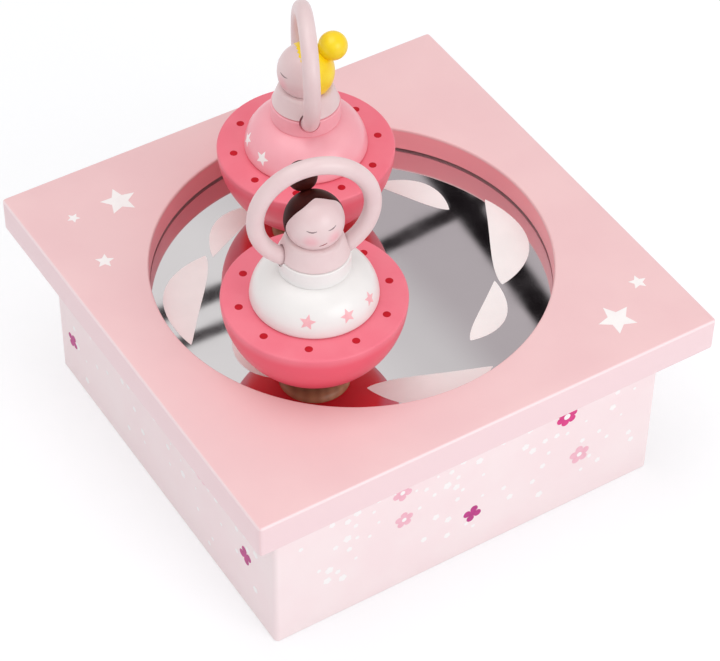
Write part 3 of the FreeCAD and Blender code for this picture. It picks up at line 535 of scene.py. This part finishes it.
def plateMesh():
    # Loops from the rebate out under the plate, round its edge, over the top and down into the opening
    angles = [atan2(y, x) for x, y in squareLoop(0.0)]

    def circle(radius):
        return [(radius * cos(a), radius * sin(a)) for a in angles]

    def between(first, second, share):
        return [(a[0] + (b[0] - a[0]) * share, a[1] + (b[1] - a[1]) * share) for a, b in zip(first, second)]

    low, high, stage, rebate, ledge, edge, lip = [
        plate[key] for key in ("low", "high", "stage", "rebate", "ledge", "edge", "lip")]
    bend = [(1 - sin(pi / 2 * t), 1 - cos(pi / 2 * t)) for t in shares(6)]
    top = squareLoop(edge)
    inner = circle(stage + lip)
    levels = [(circle(rebate), low), (between(circle(rebate), top, 0.5), low)]
    levels += [(squareLoop(edge * inwards), low + edge * upwards) for inwards, upwards in bend]
    levels += [(squareLoop(edge * inwards), high - edge * downwards) for downwards, inwards in bend]
    levels += [(between(top, inner, share), high) for share in (0.25, 0.5, 0.75)]
    levels += [(circle(stage + lip * outwards), high - lip * downwards) for outwards, downwards in bend]
    levels += [(circle(stage), ledge), (circle(rebate), ledge)]
    return meshOf("topPlate", *loft([[(x, y, height) for x, y in loop] for loop, height in levels], closed=True))


plateMaterial = paintMaterial("plateLacquer", plateLook, layers=plateLayers)
topPlate = finishPiece("topPlate", plateMesh(), plateMaterial, "box", ["top_plate"], 25.0)
wallMaterial = paintMaterial("wallLacquer", wallLook)
for wall in ("front_wall", "right_wall", "rear_wall", "left_wall"):
    dress(nodes[wall].data, wallMaterial)


# Prints on the plate, the walls and the mirror

inkSkin = dict(rough=0.45, peel=0.6, peelDepth=0.006, coat=0.05)
whiteInk = dict(inkSkin, colour=(252, 249, 248), deep=(250, 245, 245), patch=4.0)
inks = {
    "white": whiteInk,
    "magenta": dict(inkSkin, colour=(222, 34, 132), deep=(208, 22, 120), patch=3.0),
    "plum": dict(inkSkin, colour=(192, 26, 132), deep=(178, 16, 120), patch=3.0),
    "pale": dict(inkSkin, colour=(243, 188, 203), deep=(240, 178, 195), patch=3.0),
    "frost": dict(inkSkin, colour=(250, 248, 247), deep=(246, 244, 243), patch=8.0, rough=0.5, coat=0.0),
}
prints = {name: paintMaterial(name + "Print", ink) for name, ink in inks.items()}

# Each star has its place, its size and its turn in degrees
plateStars = dict(tips=5, waist=0.47, stars=[(-48.8, 60.1, 6.0, 10), (-64.7, 60.5, 2.2, 40), (-65.5, 38.4, 3.1, -8),
                                             (54.4, -64.1, 6.2, 26), (69.2, -54.4, 3.0, 4)])
starSeeds = []
for x, y, size, turn in plateStars["stars"]:
    angle = radians(turn)
    starSeeds.append(((x, y, plate["high"]), size, (0, 0, 1), (cos(angle), sin(angle), 0)))
placeMarks("plateStars", starSeeds, starMarks, topPlate, plateStars["tips"], plateStars["waist"], prints["white"],
           "box")

# The printed field stops short of the walls' ends and of the plate, and thickens from one height to another
wallField = dict(margin=7.0, headGap=5.0, thinAt=6.0, thickAt=44.0)
# Big flowers and small white dots each have their own scatter, and kinds share it by lot
bigScatter = dict(spacing=11.5, seed=11, foot=12.0, lift=0.06)
heart = dict(bigScatter, petals=1, depth=0.0, ink=prints["white"], lift=0.09)
magentaLot = (0.0, 0.1)
plumLot = (0.1, 0.16)
paleLot = (0.16, 0.42)
wallPrints = {
    "magentaFlowers": dict(bigScatter, lot=magentaLot, size=(3.7, 4.4), petals=6, depth=0.3, ink=prints["magenta"]),
    "magentaHearts": dict(heart, lot=magentaLot, size=(1.1, 1.4)),
    "plumFlowers": dict(bigScatter, lot=plumLot, size=(3.0, 3.6), petals=4, depth=0.62, ink=prints["plum"]),
    "paleFlowers": dict(bigScatter, lot=paleLot, size=(3.2, 4.0), petals=5, depth=0.45, ink=prints["pale"]),
    "paleHearts": dict(heart, lot=paleLot, size=(0.8, 1.0)),
    "whiteDots": dict(spacing=3.6, seed=23, foot=6.0, lift=0.05, lot=(0.0, 0.95), size=(0.45, 1.5), petals=5,
                      depth=0.3, ink=prints["white"]),
}


def wallFaces(foot):
    # The printed field of each wall, from a height above the table
    side = wallHalf - wallField["margin"]
    head = plate["low"] - wallField["headGap"]
    points = []
    for quarter in range(4):
        turn = Matrix.Rotation(quarter * pi / 2, 3, "Z")
        for x, z in ((-side, foot), (side, foot), (side, head), (-side, head)):
            points.append(turn @ Vector((x, -wallHalf, z)))
    return meshOf("wallFields", points, [range(first, first + 4) for first in (0, 4, 8, 12)])


for name, field in wallPrints.items():
    growMarks(name, wallFaces(field["foot"]), printScatter, {
        "Spacing": field["spacing"] * mm, "Foot": wallField["thinAt"] * mm, "Crown": wallField["thickAt"] * mm,
        "Seed": field["seed"], "Pick From": field["lot"][0], "Pick To": field["lot"][1],
        "Least Size": field["size"][0] * mm, "Most Size": field["size"][1] * mm, "Petals": field["petals"],
        "Depth": field["depth"], "Thickness": field["lift"] * mm, "Material": field["ink"]}, "box")
print("box made and printed")


# Mirror, with white leaves printed round it, two on each of four short stems

mirrorLook = dict(colour=(236, 235, 237), deep=(228, 227, 229), patch=30.0, rough=0.008, haze=0.03, hazePatch=9.0,
                  wave=35.0, waveDepth=0.01)
leafPrint = dict(starts=(-116, -34, 52, 136), sweep=48.0, inner=45.0, outer=46.5, leaves=2, length=39.0, width=0.27,
                 lean=0.3, spread=0.1, side=1.8)


def mirrorMaterial(look):
    material, place = newMaterial("silveredGlass")
    colour = place.noise(look["patch"]).blend(look)
    roughness = look["rough"] + look["haze"] * place.noise(look["hazePatch"])
    closeMaterial(place, colour, roughness, place.noise(look["wave"], 1.0), look["waveDepth"], 1.0)
    return material


def stemMesh(form, steps=24):
    # Stems that swing a little outwards as they go round
    points = []
    edges = []
    for first in form["starts"]:
        for t in shares(steps):
            angle = radians(first + form["sweep"] * t)
            reach = form["inner"] + (form["outer"] - form["inner"]) * t * (2 - t)
            points.append((reach * cos(angle), reach * sin(angle), stageTop))
            if t > 0:
                edges.append((len(points) - 2, len(points) - 1))
    return meshOf("stems", points, edges=edges)


dress(nodes["mirror"].data, mirrorMaterial(mirrorLook))
growMarks("leafSprays", stemMesh(leafPrint), leafSpray, {
    "Leaves": leafPrint["leaves"], "Length": leafPrint["length"] * mm, "Width": leafPrint["width"],
    "Lean": leafPrint["lean"], "Spread": leafPrint["spread"], "Side": leafPrint["side"] * mm,
    "Thickness": printThickness, "Material": prints["frost"]}, "box")


# Dancers

skinLook = dict(colour=(233, 210, 211), deep=(230, 203, 205), patch=9.0, rough=0.4, peel=0.5, peelDepth=0.008,
                coat=0.15)
coralLook = dict(colour=(244, 126, 143), deep=(241, 116, 135), patch=14.0, rough=0.42, peel=0.6, peelDepth=0.008,
                 coat=0.08, specular=0.4)
dotLook = dict(colour=(198, 10, 36), deep=(186, 5, 28), patch=2.0, rough=0.5, peel=0.4, peelDepth=0.006, coat=0.0,
               specular=0.2)
skirtSkin = dict(patch=14.0, rough=0.36, peel=0.6, peelDepth=0.008, coat=0.2)
whiteLook = dict(skirtSkin, colour=(243, 240, 239), deep=(239, 236, 235))
roseLook = dict(skirtSkin, colour=(251, 177, 188), deep=(248, 168, 180))
hairSkin = dict(patch=6.0, peel=0.5, peelDepth=0.01)
brownLook = dict(hairSkin, colour=(68, 20, 15), deep=(50, 10, 10), rough=0.5, coat=0.0, specular=0.12)
yellowLook = dict(hairSkin, colour=(254, 224, 18), deep=(252, 214, 8), rough=0.38, coat=0.15)
brushSkin = dict(patch=0.8, rough=0.4, peel=0.3, peelDepth=0.005, coat=0.1)
eyeLook = dict(brushSkin, colour=(150, 128, 130), deep=(130, 108, 112))
lipLook = dict(brushSkin, colour=(150, 26, 44), deep=(120, 16, 36))
pinkInk = dict(inkSkin, colour=(248, 188, 194), deep=(244, 178, 186), patch=2.0, peel=0.4)

footShape = dict(edge=3.0, wood=dict(colour=(200, 146, 104), deep=(178, 122, 84), ringGap=3.2, rough=0.4))
# Painted shade on the bowl: a deeper coral down its side and a deep red below, for its shaded underside that the
# mirror shows; each colour fades out between two depths under the rim
bowlShape = dict(edge=0.7, shadeTones=[((240, 92, 114), 4.0, 0.6), ((252, 30, 50), 20.0, 17.0)])
rimDots = dict(count=10, ring=22.7, radius=1.2)
armShape = dict(socketDepth=2.0, clearance=0.6, steps=112, sides=32)
skirtShape = dict(height=11.9, lip=1.2, bulge=2.0, collar=10.8, rootRound=0.4, rootGap=0.1, collarEdge=0.4, groove=0.3)
skirtStars = dict(tips=5, waist=0.45, inset=1.0, slope=(0.8, 0.6))
bustShape = dict(taper=1.7, side=5.2, shoulder=1.2, run=1.3, bow=0.3, edge=0.45, play=0.02)
cheekBlush = dict(colour=(243, 170, 182), reach=(0.4, 3.4), share=0.5)
hairShape = dict(pole=(180, 25), count=160, curls=32, rise=0.16, depth=0.3, tuck=0.02)
brush = dict(width=0.5, rise=0.07, tip=0.25, steps=20)

# Places on a head are (azimuth, elevation) in degrees; stars are (heading, height, size, turn)
dancers = {
    "front": dict(
        skirtLook=whiteLook, skirtSlot="white_paint", hairLook=brownLook, hairSlot="brown_paint", starLook=pinkInk,
        hairLine=[(0, 86), (-58, 61), (-71, 38), (-80, 14), (-84, -5), (-84, -24), (-100, -42), (-140, -52),
                  (180, -55), (140, -52), (100, -42), (92, -20), (91, 10), (89, 38), (75, 62), (56, 81)],
        eyes=[[(-31, 20), (-20, 17.5), (-10, 20)], [(13, 17), (23, 17), (33, 20)]],
        mouth=[(-6, -18), (2, -16), (10, -12)], cheeks=[(-22, -4), (26, -4)], dotPhase=16.3,
        bunShift=(-1.2, 0.3, 0.8), armDrop=0.0, curl=0.0,
        stars=[(-22, 6.0, 2.6, 8), (17, 6.0, 2.5, -6), (48, 6.0, 2.4, 12)]),
    "rear": dict(
        skirtLook=roseLook, skirtSlot="pink_paint", hairLook=yellowLook, hairSlot="yellow_paint", starLook=whiteInk,
        hairLine=[(0, 73), (-40, 66), (-64, 43), (-76, 28), (-83, 8), (-90, -10), (-108, -26), (-134, -38), (180, -46),
                  (134, -38), (112, -22), (96, -4), (86, 16), (80, 36), (72, 52), (52, 65), (24, 72)],
        eyes=[[(-43, 15), (-32, 14), (-20, 16)], [(20, 16), (32, 14), (43, 15)]],
        mouth=[(-8, -14), (0, -17), (8, -14)], cheeks=[(-26, -4), (26, -4)], dotPhase=4.0,
        bunShift=(0.0, 0.0, 0.0), armDrop=0.9, curl=1.6,
        stars=[(-28, 5.0, 2.4, 10), (4, 5.0, 2.6, -8), (36, 5.0, 2.6, 6)]),
}


def towards(azimuth, elevation):
    # A direction: azimuth 0 is to the front (-Y), + to a dancer's left
    a = radians(azimuth)
    e = radians(elevation)
    return Vector((sin(a) * cos(e), -cos(a) * cos(e), sin(e)))


def hairBounds(line, curl, pole, side, over):
    # How far the hair reaches from its pole at each turn round it: a smooth curve through the hair line, with curls
    polar = []
    for place in line:
        way = towards(*place)
        polar.append((atan2(way.dot(over), way.dot(side)), acos(max(-1.0, min(1.0, way.dot(pole))))))
    polar.sort()
    bounds = []
    for step in range(hairShape["count"]):
        angle = -pi + fullTurn * step / hairShape["count"]
        after = next((k for k, p in enumerate(polar) if p[0] > angle), 0)
        before, start, end, beyond = [polar[(after + shift) % len(polar)] for shift in (-2, -1, 0, 1)]
        span = (end[0] - start[0]) % fullTurn
        t = ((angle - start[0]) % fullTurn) / span
        slopeIn = (end[1] - before[1]) / (span + (start[0] - before[0]) % fullTurn) * span
        slopeOut = (beyond[1] - start[1]) / (span + (beyond[0] - end[0]) % fullTurn) * span
        wave = radians(curl) * sin(hairShape["curls"] * angle)
        bounds.append((angle, wave + (2 * t ** 3 - 3 * t ** 2 + 1) * start[1] + (t ** 3 - 2 * t ** 2 + t) * slopeIn
                       + (3 * t ** 2 - 2 * t ** 3) * end[1] + (t ** 3 - t ** 2) * slopeOut))
    return bounds


def hairCap(middle, radius, line, curl):
    # A thin closed cap of paint on the back of the head, bounded by a line of directions
    pole = towards(*hairShape["pole"])
    side = pole.cross(Vector((0, 0, 1))).normalized()
    over = side.cross(pole)
    bounds = hairBounds(line, curl, pole, side, over)
    rise = hairShape["rise"]
    depth = hairShape["depth"]
    # Share of the way from the pole to the hair line, and height over the head: out over the top and back below
    levels = [(share, rise) for share in shares(24)[1:-1]]
    levels += [(0.975, rise * 0.92), (0.99, rise * 0.7), (1.0, -hairShape["tuck"])]
    levels += [(share, -depth) for share in (0.97, 0.7, 0.35)]
    loops = [[middle + pole * (radius + rise)]]
    for share, lift in levels:
        loop = []
        for angle, bound in bounds:
            tilt = bound * share
            way = pole * cos(tilt) + (side * cos(angle) + over * sin(angle)) * sin(tilt)
            loop.append(middle + way * (radius + lift))
        loops.append(loop)
    return loft(loops + [[middle + pole * (radius - depth)]])


def stroke(middle, radius, line):
    # A thin closed brush stroke on the head along three directions, narrow at both ends
    first, second, third = [towards(*place) for place in line]

    def along(t):
        return (1 - t) * (1 - 2 * t) * first + 4 * t * (1 - t) * second + t * (2 * t - 1) * third

    rise = brush["rise"]
    section = ((-1, -0.03), (-0.6, rise * 0.7), (0, rise), (0.6, rise * 0.7), (1, -0.03), (0, -0.12))
    loops = []
    for t in shares(brush["steps"]):
        way = along(t).normalized()
        across = way.cross(along(min(1.0, t + 0.01)) - along(max(0.0, t - 0.01))).normalized()
        half = brush["width"] / 2 * (brush["tip"] + (1 - brush["tip"]) * sin(pi * t))
        loops.append([middle + way * (radius + lift) + across * half * share for share, lift in section])
    return loft(loops, capped=True)


def armMesh(centre, ring, tube, endAngle):
    # An open ring in the XZ plane that starts and ends low, at the shoulders
    turns = [fullTurn * side / armShape["sides"] for side in range(armShape["sides"])]
    loops = []
    for t in shares(armShape["steps"]):
        angle = radians(-90 + endAngle + (360 - 2 * endAngle) * t)
        out = Vector((cos(angle), 0, sin(angle)))
        loops.append([centre + out * (ring + tube * cos(b)) + Vector((0, 1, 0)) * tube * sin(b)
                      for b in turns])
    return loft(loops, capped=True)


class Dancer:
    # Her pieces are made about her own axis, z up from the mirror and her front towards -Y, and then placed
    def __init__(self, who):
        self.look = dancers[who]
        self.body = who + "_dancer"
        low, high = boxOf(self.body + "_bowl")
        self.axis = Vector(((low.x + high.x) / 2, (low.y + high.y) / 2, stageTop))
        low, high = boxOf(self.body + "_bun")
        self.behind = Vector(((low.x + high.x) / 2 - self.axis.x, (low.y + high.y) / 2 - self.axis.y))
        self.turn = atan2(-self.behind.x, self.behind.y)
        self.move = Matrix.Translation(self.axis) @ Matrix.Rotation(self.turn, 4, "Z")
        self.where = (tuple(self.axis * mm), self.turn)
        self.skinPaint = self.paint("Skin", skinLook)
        self.headRadius, low, high = self.span("head")
        self.headMiddle = Vector((0, 0, high - self.headRadius))

    def span(self, part):
        # Radius of a CAD piece, and its lowest and highest place above the mirror
        low, high = boxOf(self.body + "_" + part)
        return (high.x - low.x) / 2, low.z - stageTop, high.z - stageTop

    def paint(self, name, look, layers=None):
        return paintMaterial(self.body + name, look, *self.where, layers)

    def placed(self, name, shape):
        points, faces = shape
        return meshOf(self.body + name, [self.move @ Vector(point) for point in points], faces)

    def out(self, heading):
        # A level way from her axis
        return self.move.to_3x3() @ towards(heading, 0)

    def make(self, name, shape, paint, slot, part=None, socketed=False):
        # part is the CAD piece it stands for; a socketed piece makes room for the ends of the arms
        mesh = self.placed(name, shape)
        if socketed:
            mesh = cutAway(mesh, self.socket)
        return finishPiece(self.body + name, mesh, paint, self.body, [self.body + "_" + part] if part else [],
                           30.0 if socketed else 38.0)

    def foot(self):
        radius, low, high = self.span("foot")
        edge = footShape["edge"]
        profile = [(0, low)] + circleArc((radius - edge, low + edge), edge, -90, 0, 8) + [(radius, high), (0, high)]
        wood = woodMaterial(self.body + "Wood", footShape["wood"], *self.where)
        self.make("Foot", turned(profile), wood, "bare_wood", "foot")

    def bowl(self):
        radius, flat, rim = self.span("bowl")
        edge = bowlShape["edge"]
        start = degrees(asin((flat - rim) / radius))
        lipAngle = degrees(asin(-edge / (radius - edge)))
        lipMiddle = (sqrt((radius - edge) ** 2 - edge ** 2), rim - edge)
        profile = [(0, flat)] + circleArc((0, rim), radius, start, lipAngle, 40)
        profile += circleArc(lipMiddle, edge, lipAngle, 90, 10)[1:] + [(0, rim)]

        # Painted shade: darker coral down the side and deep red underneath
        def shadeBelow(place, colour):
            height = place.parts()[2]
            for tone, whole, gone in bowlShape["shadeTones"]:
                colour = height.ease(rim - whole, rim - gone).mix(tint(*tone), colour)
            return colour

        coral = self.paint("Coral", coralLook, shadeBelow)
        bowl = self.make("Bowl", turned(profile), coral, "coral_paint", "bowl")
        dots = []
        for number in range(rimDots["count"]):
            way = self.out(self.look["dotPhase"] + 360 / rimDots["count"] * number)
            place = self.axis + way * rimDots["ring"] + Vector((0, 0, rim))
            dots.append((place, rimDots["radius"], (0, 0, 1), way))
        placeMarks(self.body + "Dots", dots, dotMarks, bowl, 1, 1.0, self.paint("DotPaint", dotLook), self.body)

    def arms(self):
        # The hoop's sizes come from its box, which holds it turned; the socket is the hoop with some room
        low, high = boxOf(self.body + "_arms")
        wide = (high.x - low.x) / 2
        deep = (high.y - low.y) / 2
        ring = (wide - deep) / (abs(cos(self.turn)) - abs(sin(self.turn)))
        tube = wide - ring * abs(cos(self.turn))
        centre = Vector((0, 0, high.z - stageTop - ring - tube - self.look["armDrop"]))
        endAngle = degrees(asin((skirtShape["collar"] - armShape["socketDepth"]) / ring))
        self.make("Arms", armMesh(centre, ring, tube, endAngle), self.skinPaint, "skin_paint", "arms")
        self.socket = self.placed("Socket", armMesh(centre, ring, tube + armShape["clearance"], endAngle))

    def skirt(self):
        radius, low, high = self.span("skirt")
        shape = skirtShape
        collar = shape["collar"]
        edge = shape["collarEdge"]
        inner = collar - shape["groove"]
        hem = (radius, low + shape["lip"])
        root = low + shape["height"]
        rootStart = (collar + shape["rootRound"], root - shape["rootRound"] / 2)
        rootEnd = (collar, root + shape["rootRound"] + shape["rootGap"])
        profile = [(0, low)] + arcFrom((radius - shape["lip"], low), (radius, low), hem)
        profile += bowed(hem, rootStart, shape["bulge"], 24)[1:]
        profile += [(inner, root), (inner, root + shape["groove"]), rootEnd]
        profile += circleArc((collar - edge, high - edge), edge, 0, 90, 5) + [(0, high)]
        paint = self.paint("SkirtPaint", self.look["skirtLook"])
        skirt = self.make("Skirt", turned(profile), paint, self.look["skirtSlot"], "skirt", True)
        rim = self.span("bowl")[2]
        stars = []
        for heading, height, size, twist in self.look["stars"]:
            out = self.out(heading)
            facing = (out * skirtStars["slope"][0] + Vector((0, 0, skirtStars["slope"][1]))).normalized()
            across = facing.cross(Vector((0, 0, 1))).normalized()
            upward = across.cross(facing)
            spin = radians(90 + twist)
            place = self.axis + out * (radius - skirtStars["inset"]) + Vector((0, 0, rim + height))
            stars.append((place, size, facing, across * cos(spin) + upward * sin(spin)))
        placeMarks(self.body + "Stars", stars, starMarks, skirt, skirtStars["tips"], skirtStars["waist"],
                   self.paint("StarPaint", self.look["starLook"]), self.body)

    def bust(self):
        # It has a hollow that the head sits in
        radius, low = self.span("bust")[:2]
        shape = bustShape
        shoulder = (radius - shape["taper"], low + shape["side"])
        neck = (shoulder[0] - shape["run"], shoulder[1] + shape["shoulder"])
        seat = degrees(asin((neck[1] - self.headMiddle.z) / self.headRadius))
        profile = [(0, low), (radius - shape["edge"], low), (radius, low + shape["edge"]), shoulder]
        profile += bowed(shoulder, neck, shape["bow"], 8)[1:]
        profile += circleArc((0, self.headMiddle.z), self.headRadius + shape["play"], seat, -90, 16)
        self.make("Bust", turned(profile), self.skinPaint, "skin_paint", "bust", True)

    def head(self):
        def blush(place, colour):
            x, y, z = place.parts()
            for cheek in self.look["cheeks"]:
                spot = self.headMiddle + towards(*cheek) * self.headRadius
                far = ((x - spot.x) ** 2 + (y - spot.y) ** 2 + (z - spot.z) ** 2).apply("SQRT")
                mask = (1.0 - far.ease(*cheekBlush["reach"])) * cheekBlush["share"]
                colour = mask.mix(colour, tint(*cheekBlush["colour"]))
            return colour

        profile = circleArc((0, self.headMiddle.z), self.headRadius, -90, 90, 72)
        self.make("Head", turned(profile), self.paint("Face", skinLook, blush), "skin_paint", "head")

    def hair(self):
        look = self.look
        paint = self.paint("Hair", look["hairLook"])
        cap = hairCap(self.headMiddle, self.headRadius, look["hairLine"], look["curl"])
        self.make("Hair", cap, paint, look["hairSlot"])
        low, high = self.span("bun")[1:]
        middle = Vector((0, self.behind.length, (low + high) / 2)) + Vector(look["bunShift"])
        points, faces = turned(circleArc((0, 0), (high - low) / 2, -90, 90, 48), 96)
        self.make("Bun", ([Vector(point) + middle for point in points], faces), paint, look["hairSlot"], "bun")

    def face(self):
        eyePaint = self.paint("EyePaint", eyeLook)
        lipPaint = self.paint("LipPaint", lipLook)
        first, second = self.look["eyes"]
        for name, line, paint in (("EyeA", first, eyePaint), ("EyeB", second, eyePaint),
                                  ("Mouth", self.look["mouth"], lipPaint)):
            self.make(name, stroke(self.headMiddle, self.headRadius, line), paint, "skin_paint")


for who in dancers:
    dancer = Dancer(who)
    for build in (dancer.foot, dancer.bowl, dancer.arms, dancer.skirt, dancer.bust, dancer.head, dancer.hair,
                  dancer.face):
        build()
    print(dancer.body, "made")


# Camera that stands where the photograph was taken

cameraPlace = dict(azimuth=-32.57, elevation=45.31, roll=0.88, distance=827.8, shift=(2.53, -22.28), focus=2687.6,
                   aim=plateHigh.z, width=720, sensor=36.0)


def setCamera():
    roll = radians(cameraPlace["roll"])
    azimuth = radians(cameraPlace["azimuth"])
    back = towards(cameraPlace["azimuth"], cameraPlace["elevation"])
    level = Vector((cos(azimuth), sin(azimuth), 0))
    over = back.cross(level)
    right = level * cos(roll) + over * sin(roll)
    up = over * cos(roll) - level * sin(roll)
    shift = cameraPlace["shift"]
    place = back * cameraPlace["distance"] + right * shift[0] + up * shift[1] + Vector((0, 0, cameraPlace["aim"]))
    data = bpy.data.cameras.new("camera")
    data.sensor_width = cameraPlace["sensor"]
    data.sensor_fit = "HORIZONTAL"
    data.lens = cameraPlace["focus"] / cameraPlace["width"] * cameraPlace["sensor"]
    data.clip_start = 0.01
    data.clip_end = 20.0
    camera = addObject("camera", data)
    camera.matrix_world = Matrix.Translation(place * mm) @ Matrix((right, up, back)).transposed().to_4x4()
    bpy.context.scene.camera = camera


# Floor, light and background

floorLook = dict(half=2000.0, colour=(249, 251, 254), deep=(246, 249, 253), patch=120.0, glow=1.17, matt=0.58)
lampAim = (0, 0, 0.05)
lamps = {"key": dict(place=(0.25, -1.0, 0.62), size=(0.7, 0.6), power=3.6),
         "fill": dict(place=(-0.25, 0.05, 1.28), size=(1.0, 1.0), power=5.2)}
# The room that the mirror shows, by direction: window panes over a plain wall, and dark bars across them.
# A bar is a line with a slope about the middle of the view, and shows left or right of the dancers or on both sides.
room = dict(strength=1.1, wall=(200, 199, 198), right=(0.843, -0.538), ahead=(0.538, 0.843), middle=0.711,
            windowAhead=(0.35, 0.55), windowFoot=(0.5, 0.6), leftEnd=(-0.02, 0.0), pane=(222, 219, 218),
            paneSlope=-1.46, panes=[((-0.03, 0.02), (206, 202, 202)), ((0.02, 0.05), (182, 174, 176))],
            bars=[dict(slope=2.63, band=(-0.0505, 0.006, 0.002), tone=(34, 29, 31), hand="right"),
                  dict(slope=-1.106, band=(0.0765, 0.0065, 0.002), tone=(24, 20, 22), hand="both"),
                  dict(slope=4.06, band=(-0.0955, 0.009, 0.003), tone=(50, 45, 47), hand="left"),
                  dict(slope=4.06, band=(-0.0562, 0.007, 0.003), tone=(60, 54, 56), hand="left")])


def setFloor():
    # A matt floor that glows a little where it is seen, so that it stays white without lighting the box
    half = floorLook["half"]
    mesh = meshOf("floor", [(-half, -half, 0), (half, -half, 0), (half, half, 0), (-half, half, 0)], [(0, 1, 2, 3)])
    floor = addObject("floor", mesh)
    material, place = newMaterial("floorWhite")
    tone = place.noise(floorLook["patch"], 2.0).blend(floorLook)
    diffuse = place.node("ShaderNodeBsdfDiffuse", {"Color": tone})
    glow = place.node("ShaderNodeEmission", {"Color": (1, 1, 1, 1), "Strength": floorLook["glow"]})
    glowing = place.node("ShaderNodeMixShader", {0: floorLook["matt"], 1: glow, 2: diffuse})
    ray = place.node("ShaderNodeLightPath", pick="Is Camera Ray")
    rays = ray + ray.beside("Is Glossy Ray") + ray.beside("Is Transmission Ray")
    shown = place.node("ShaderNodeMixShader", {0: place.maths("MINIMUM", rays, 1.0), 1: diffuse, 2: glowing})
    place.node("ShaderNodeOutputMaterial", {"Surface": shown})
    dress(mesh, material)


def setLamp(name, place, size, power):
    data = bpy.data.lights.new(name, "AREA")
    data.shape = "RECTANGLE"
    data.size, data.size_y = size
    data.energy = power
    way = Vector(lampAim) - Vector(place)
    lamp = addObject(name, data)
    lamp.matrix_world = Matrix.Translation(place) @ way.to_track_quat("-Z", "Y").to_matrix().to_4x4()


def setWorld():
    world = bpy.data.worlds.new("studio")
    bpy.context.scene.world = world
    world.use_nodes = True
    world.node_tree.nodes.clear()
    sky = Wire(world.node_tree)
    x, y, z = sky.node("ShaderNodeTexCoord", pick="Generated").parts()
    side = x * room["right"][0] + y * room["right"][1]
    ahead = x * room["ahead"][0] + y * room["ahead"][1]
    height = z - room["middle"]
    slant = side + room["paneSlope"] * height
    window = tint(*room["pane"])
    for edge, tone in room["panes"]:
        window = slant.ease(*edge).mix(window, tint(*tone))
    right = side.ease(*room["leftEnd"])
    hands = {"left": 1.0 - right, "right": right, "both": 1.0}
    for bar in room["bars"]:
        line = side + bar["slope"] * height
        window = (line.band(*bar["band"]) * hands[bar["hand"]]).mix(window, tint(*bar["tone"]))
    seen = ahead.ease(*room["windowAhead"]) * z.ease(*room["windowFoot"])
    tone = seen.mix(tint(*room["wall"]), window)
    light = sky.node("ShaderNodeBackground", {"Color": tone, "Strength": room["strength"]})
    sky.node("ShaderNodeOutputWorld", {"Surface": light})


setCamera()
setFloor()
setWorld()
for name, lamp in lamps.items():
    setLamp(name, **lamp)
print("light set")


# Inner pieces keep their CAD shape and get metal, wood or plastic

def grainMaterial(name, look):
    material, place = newMaterial(name)
    grain = place.noise(*look["grain"])
    closeMaterial(place, grain.blend(look), look["rough"] + 0.2 * grain, grain, look["depth"], look["metallic"])
    return material


metal = dict(make=grainMaterial, grain=(0.8, 4.0, 0.6, (1.0, 0.1, 1.0)), depth=0.01, metallic=1.0)
innerLooks = {
    "steel": dict(metal, colour=(176, 178, 182), deep=(150, 152, 158), rough=0.22),
    "magnet": dict(metal, colour=(120, 122, 126), deep=(96, 98, 104), rough=0.25),
    "zinc": dict(metal, colour=(168, 170, 174), deep=(146, 148, 152), rough=0.4),
    "brass": dict(metal, colour=(214, 178, 104), deep=(190, 150, 78), rough=0.24),
    "arm_plastic": dict(make=grainMaterial, name="armPlastic", colour=(44, 44, 48), deep=(34, 34, 38), rough=0.5,
                        grain=(1.2,), depth=0.02, metallic=0.0),
    "floor_wood": dict(make=woodMaterial, name="floorWood", colour=(196, 160, 120), deep=(168, 130, 92), ringGap=7.0,
                       rough=0.5),
    "bare_wood": dict(make=woodMaterial, name="bareWood", colour=(222, 184, 140), deep=(190, 146, 102), ringGap=4.0,
                      rough=0.45),
}
innerMaterials = {slot: look["make"](look.get("name", slot), look) for slot, look in innerLooks.items()}
for subpart in frame["record"]["subparts"]:
    material = innerMaterials.get(subpart["material_slot"])
    piece = nodes[subpart["node"]]
    if material and not piece.hide_render:
        dress(piece.data, material)
print("inner pieces painted")


# Plain view of the colours

bpy.context.scene.view_settings.view_transform = "Standard"
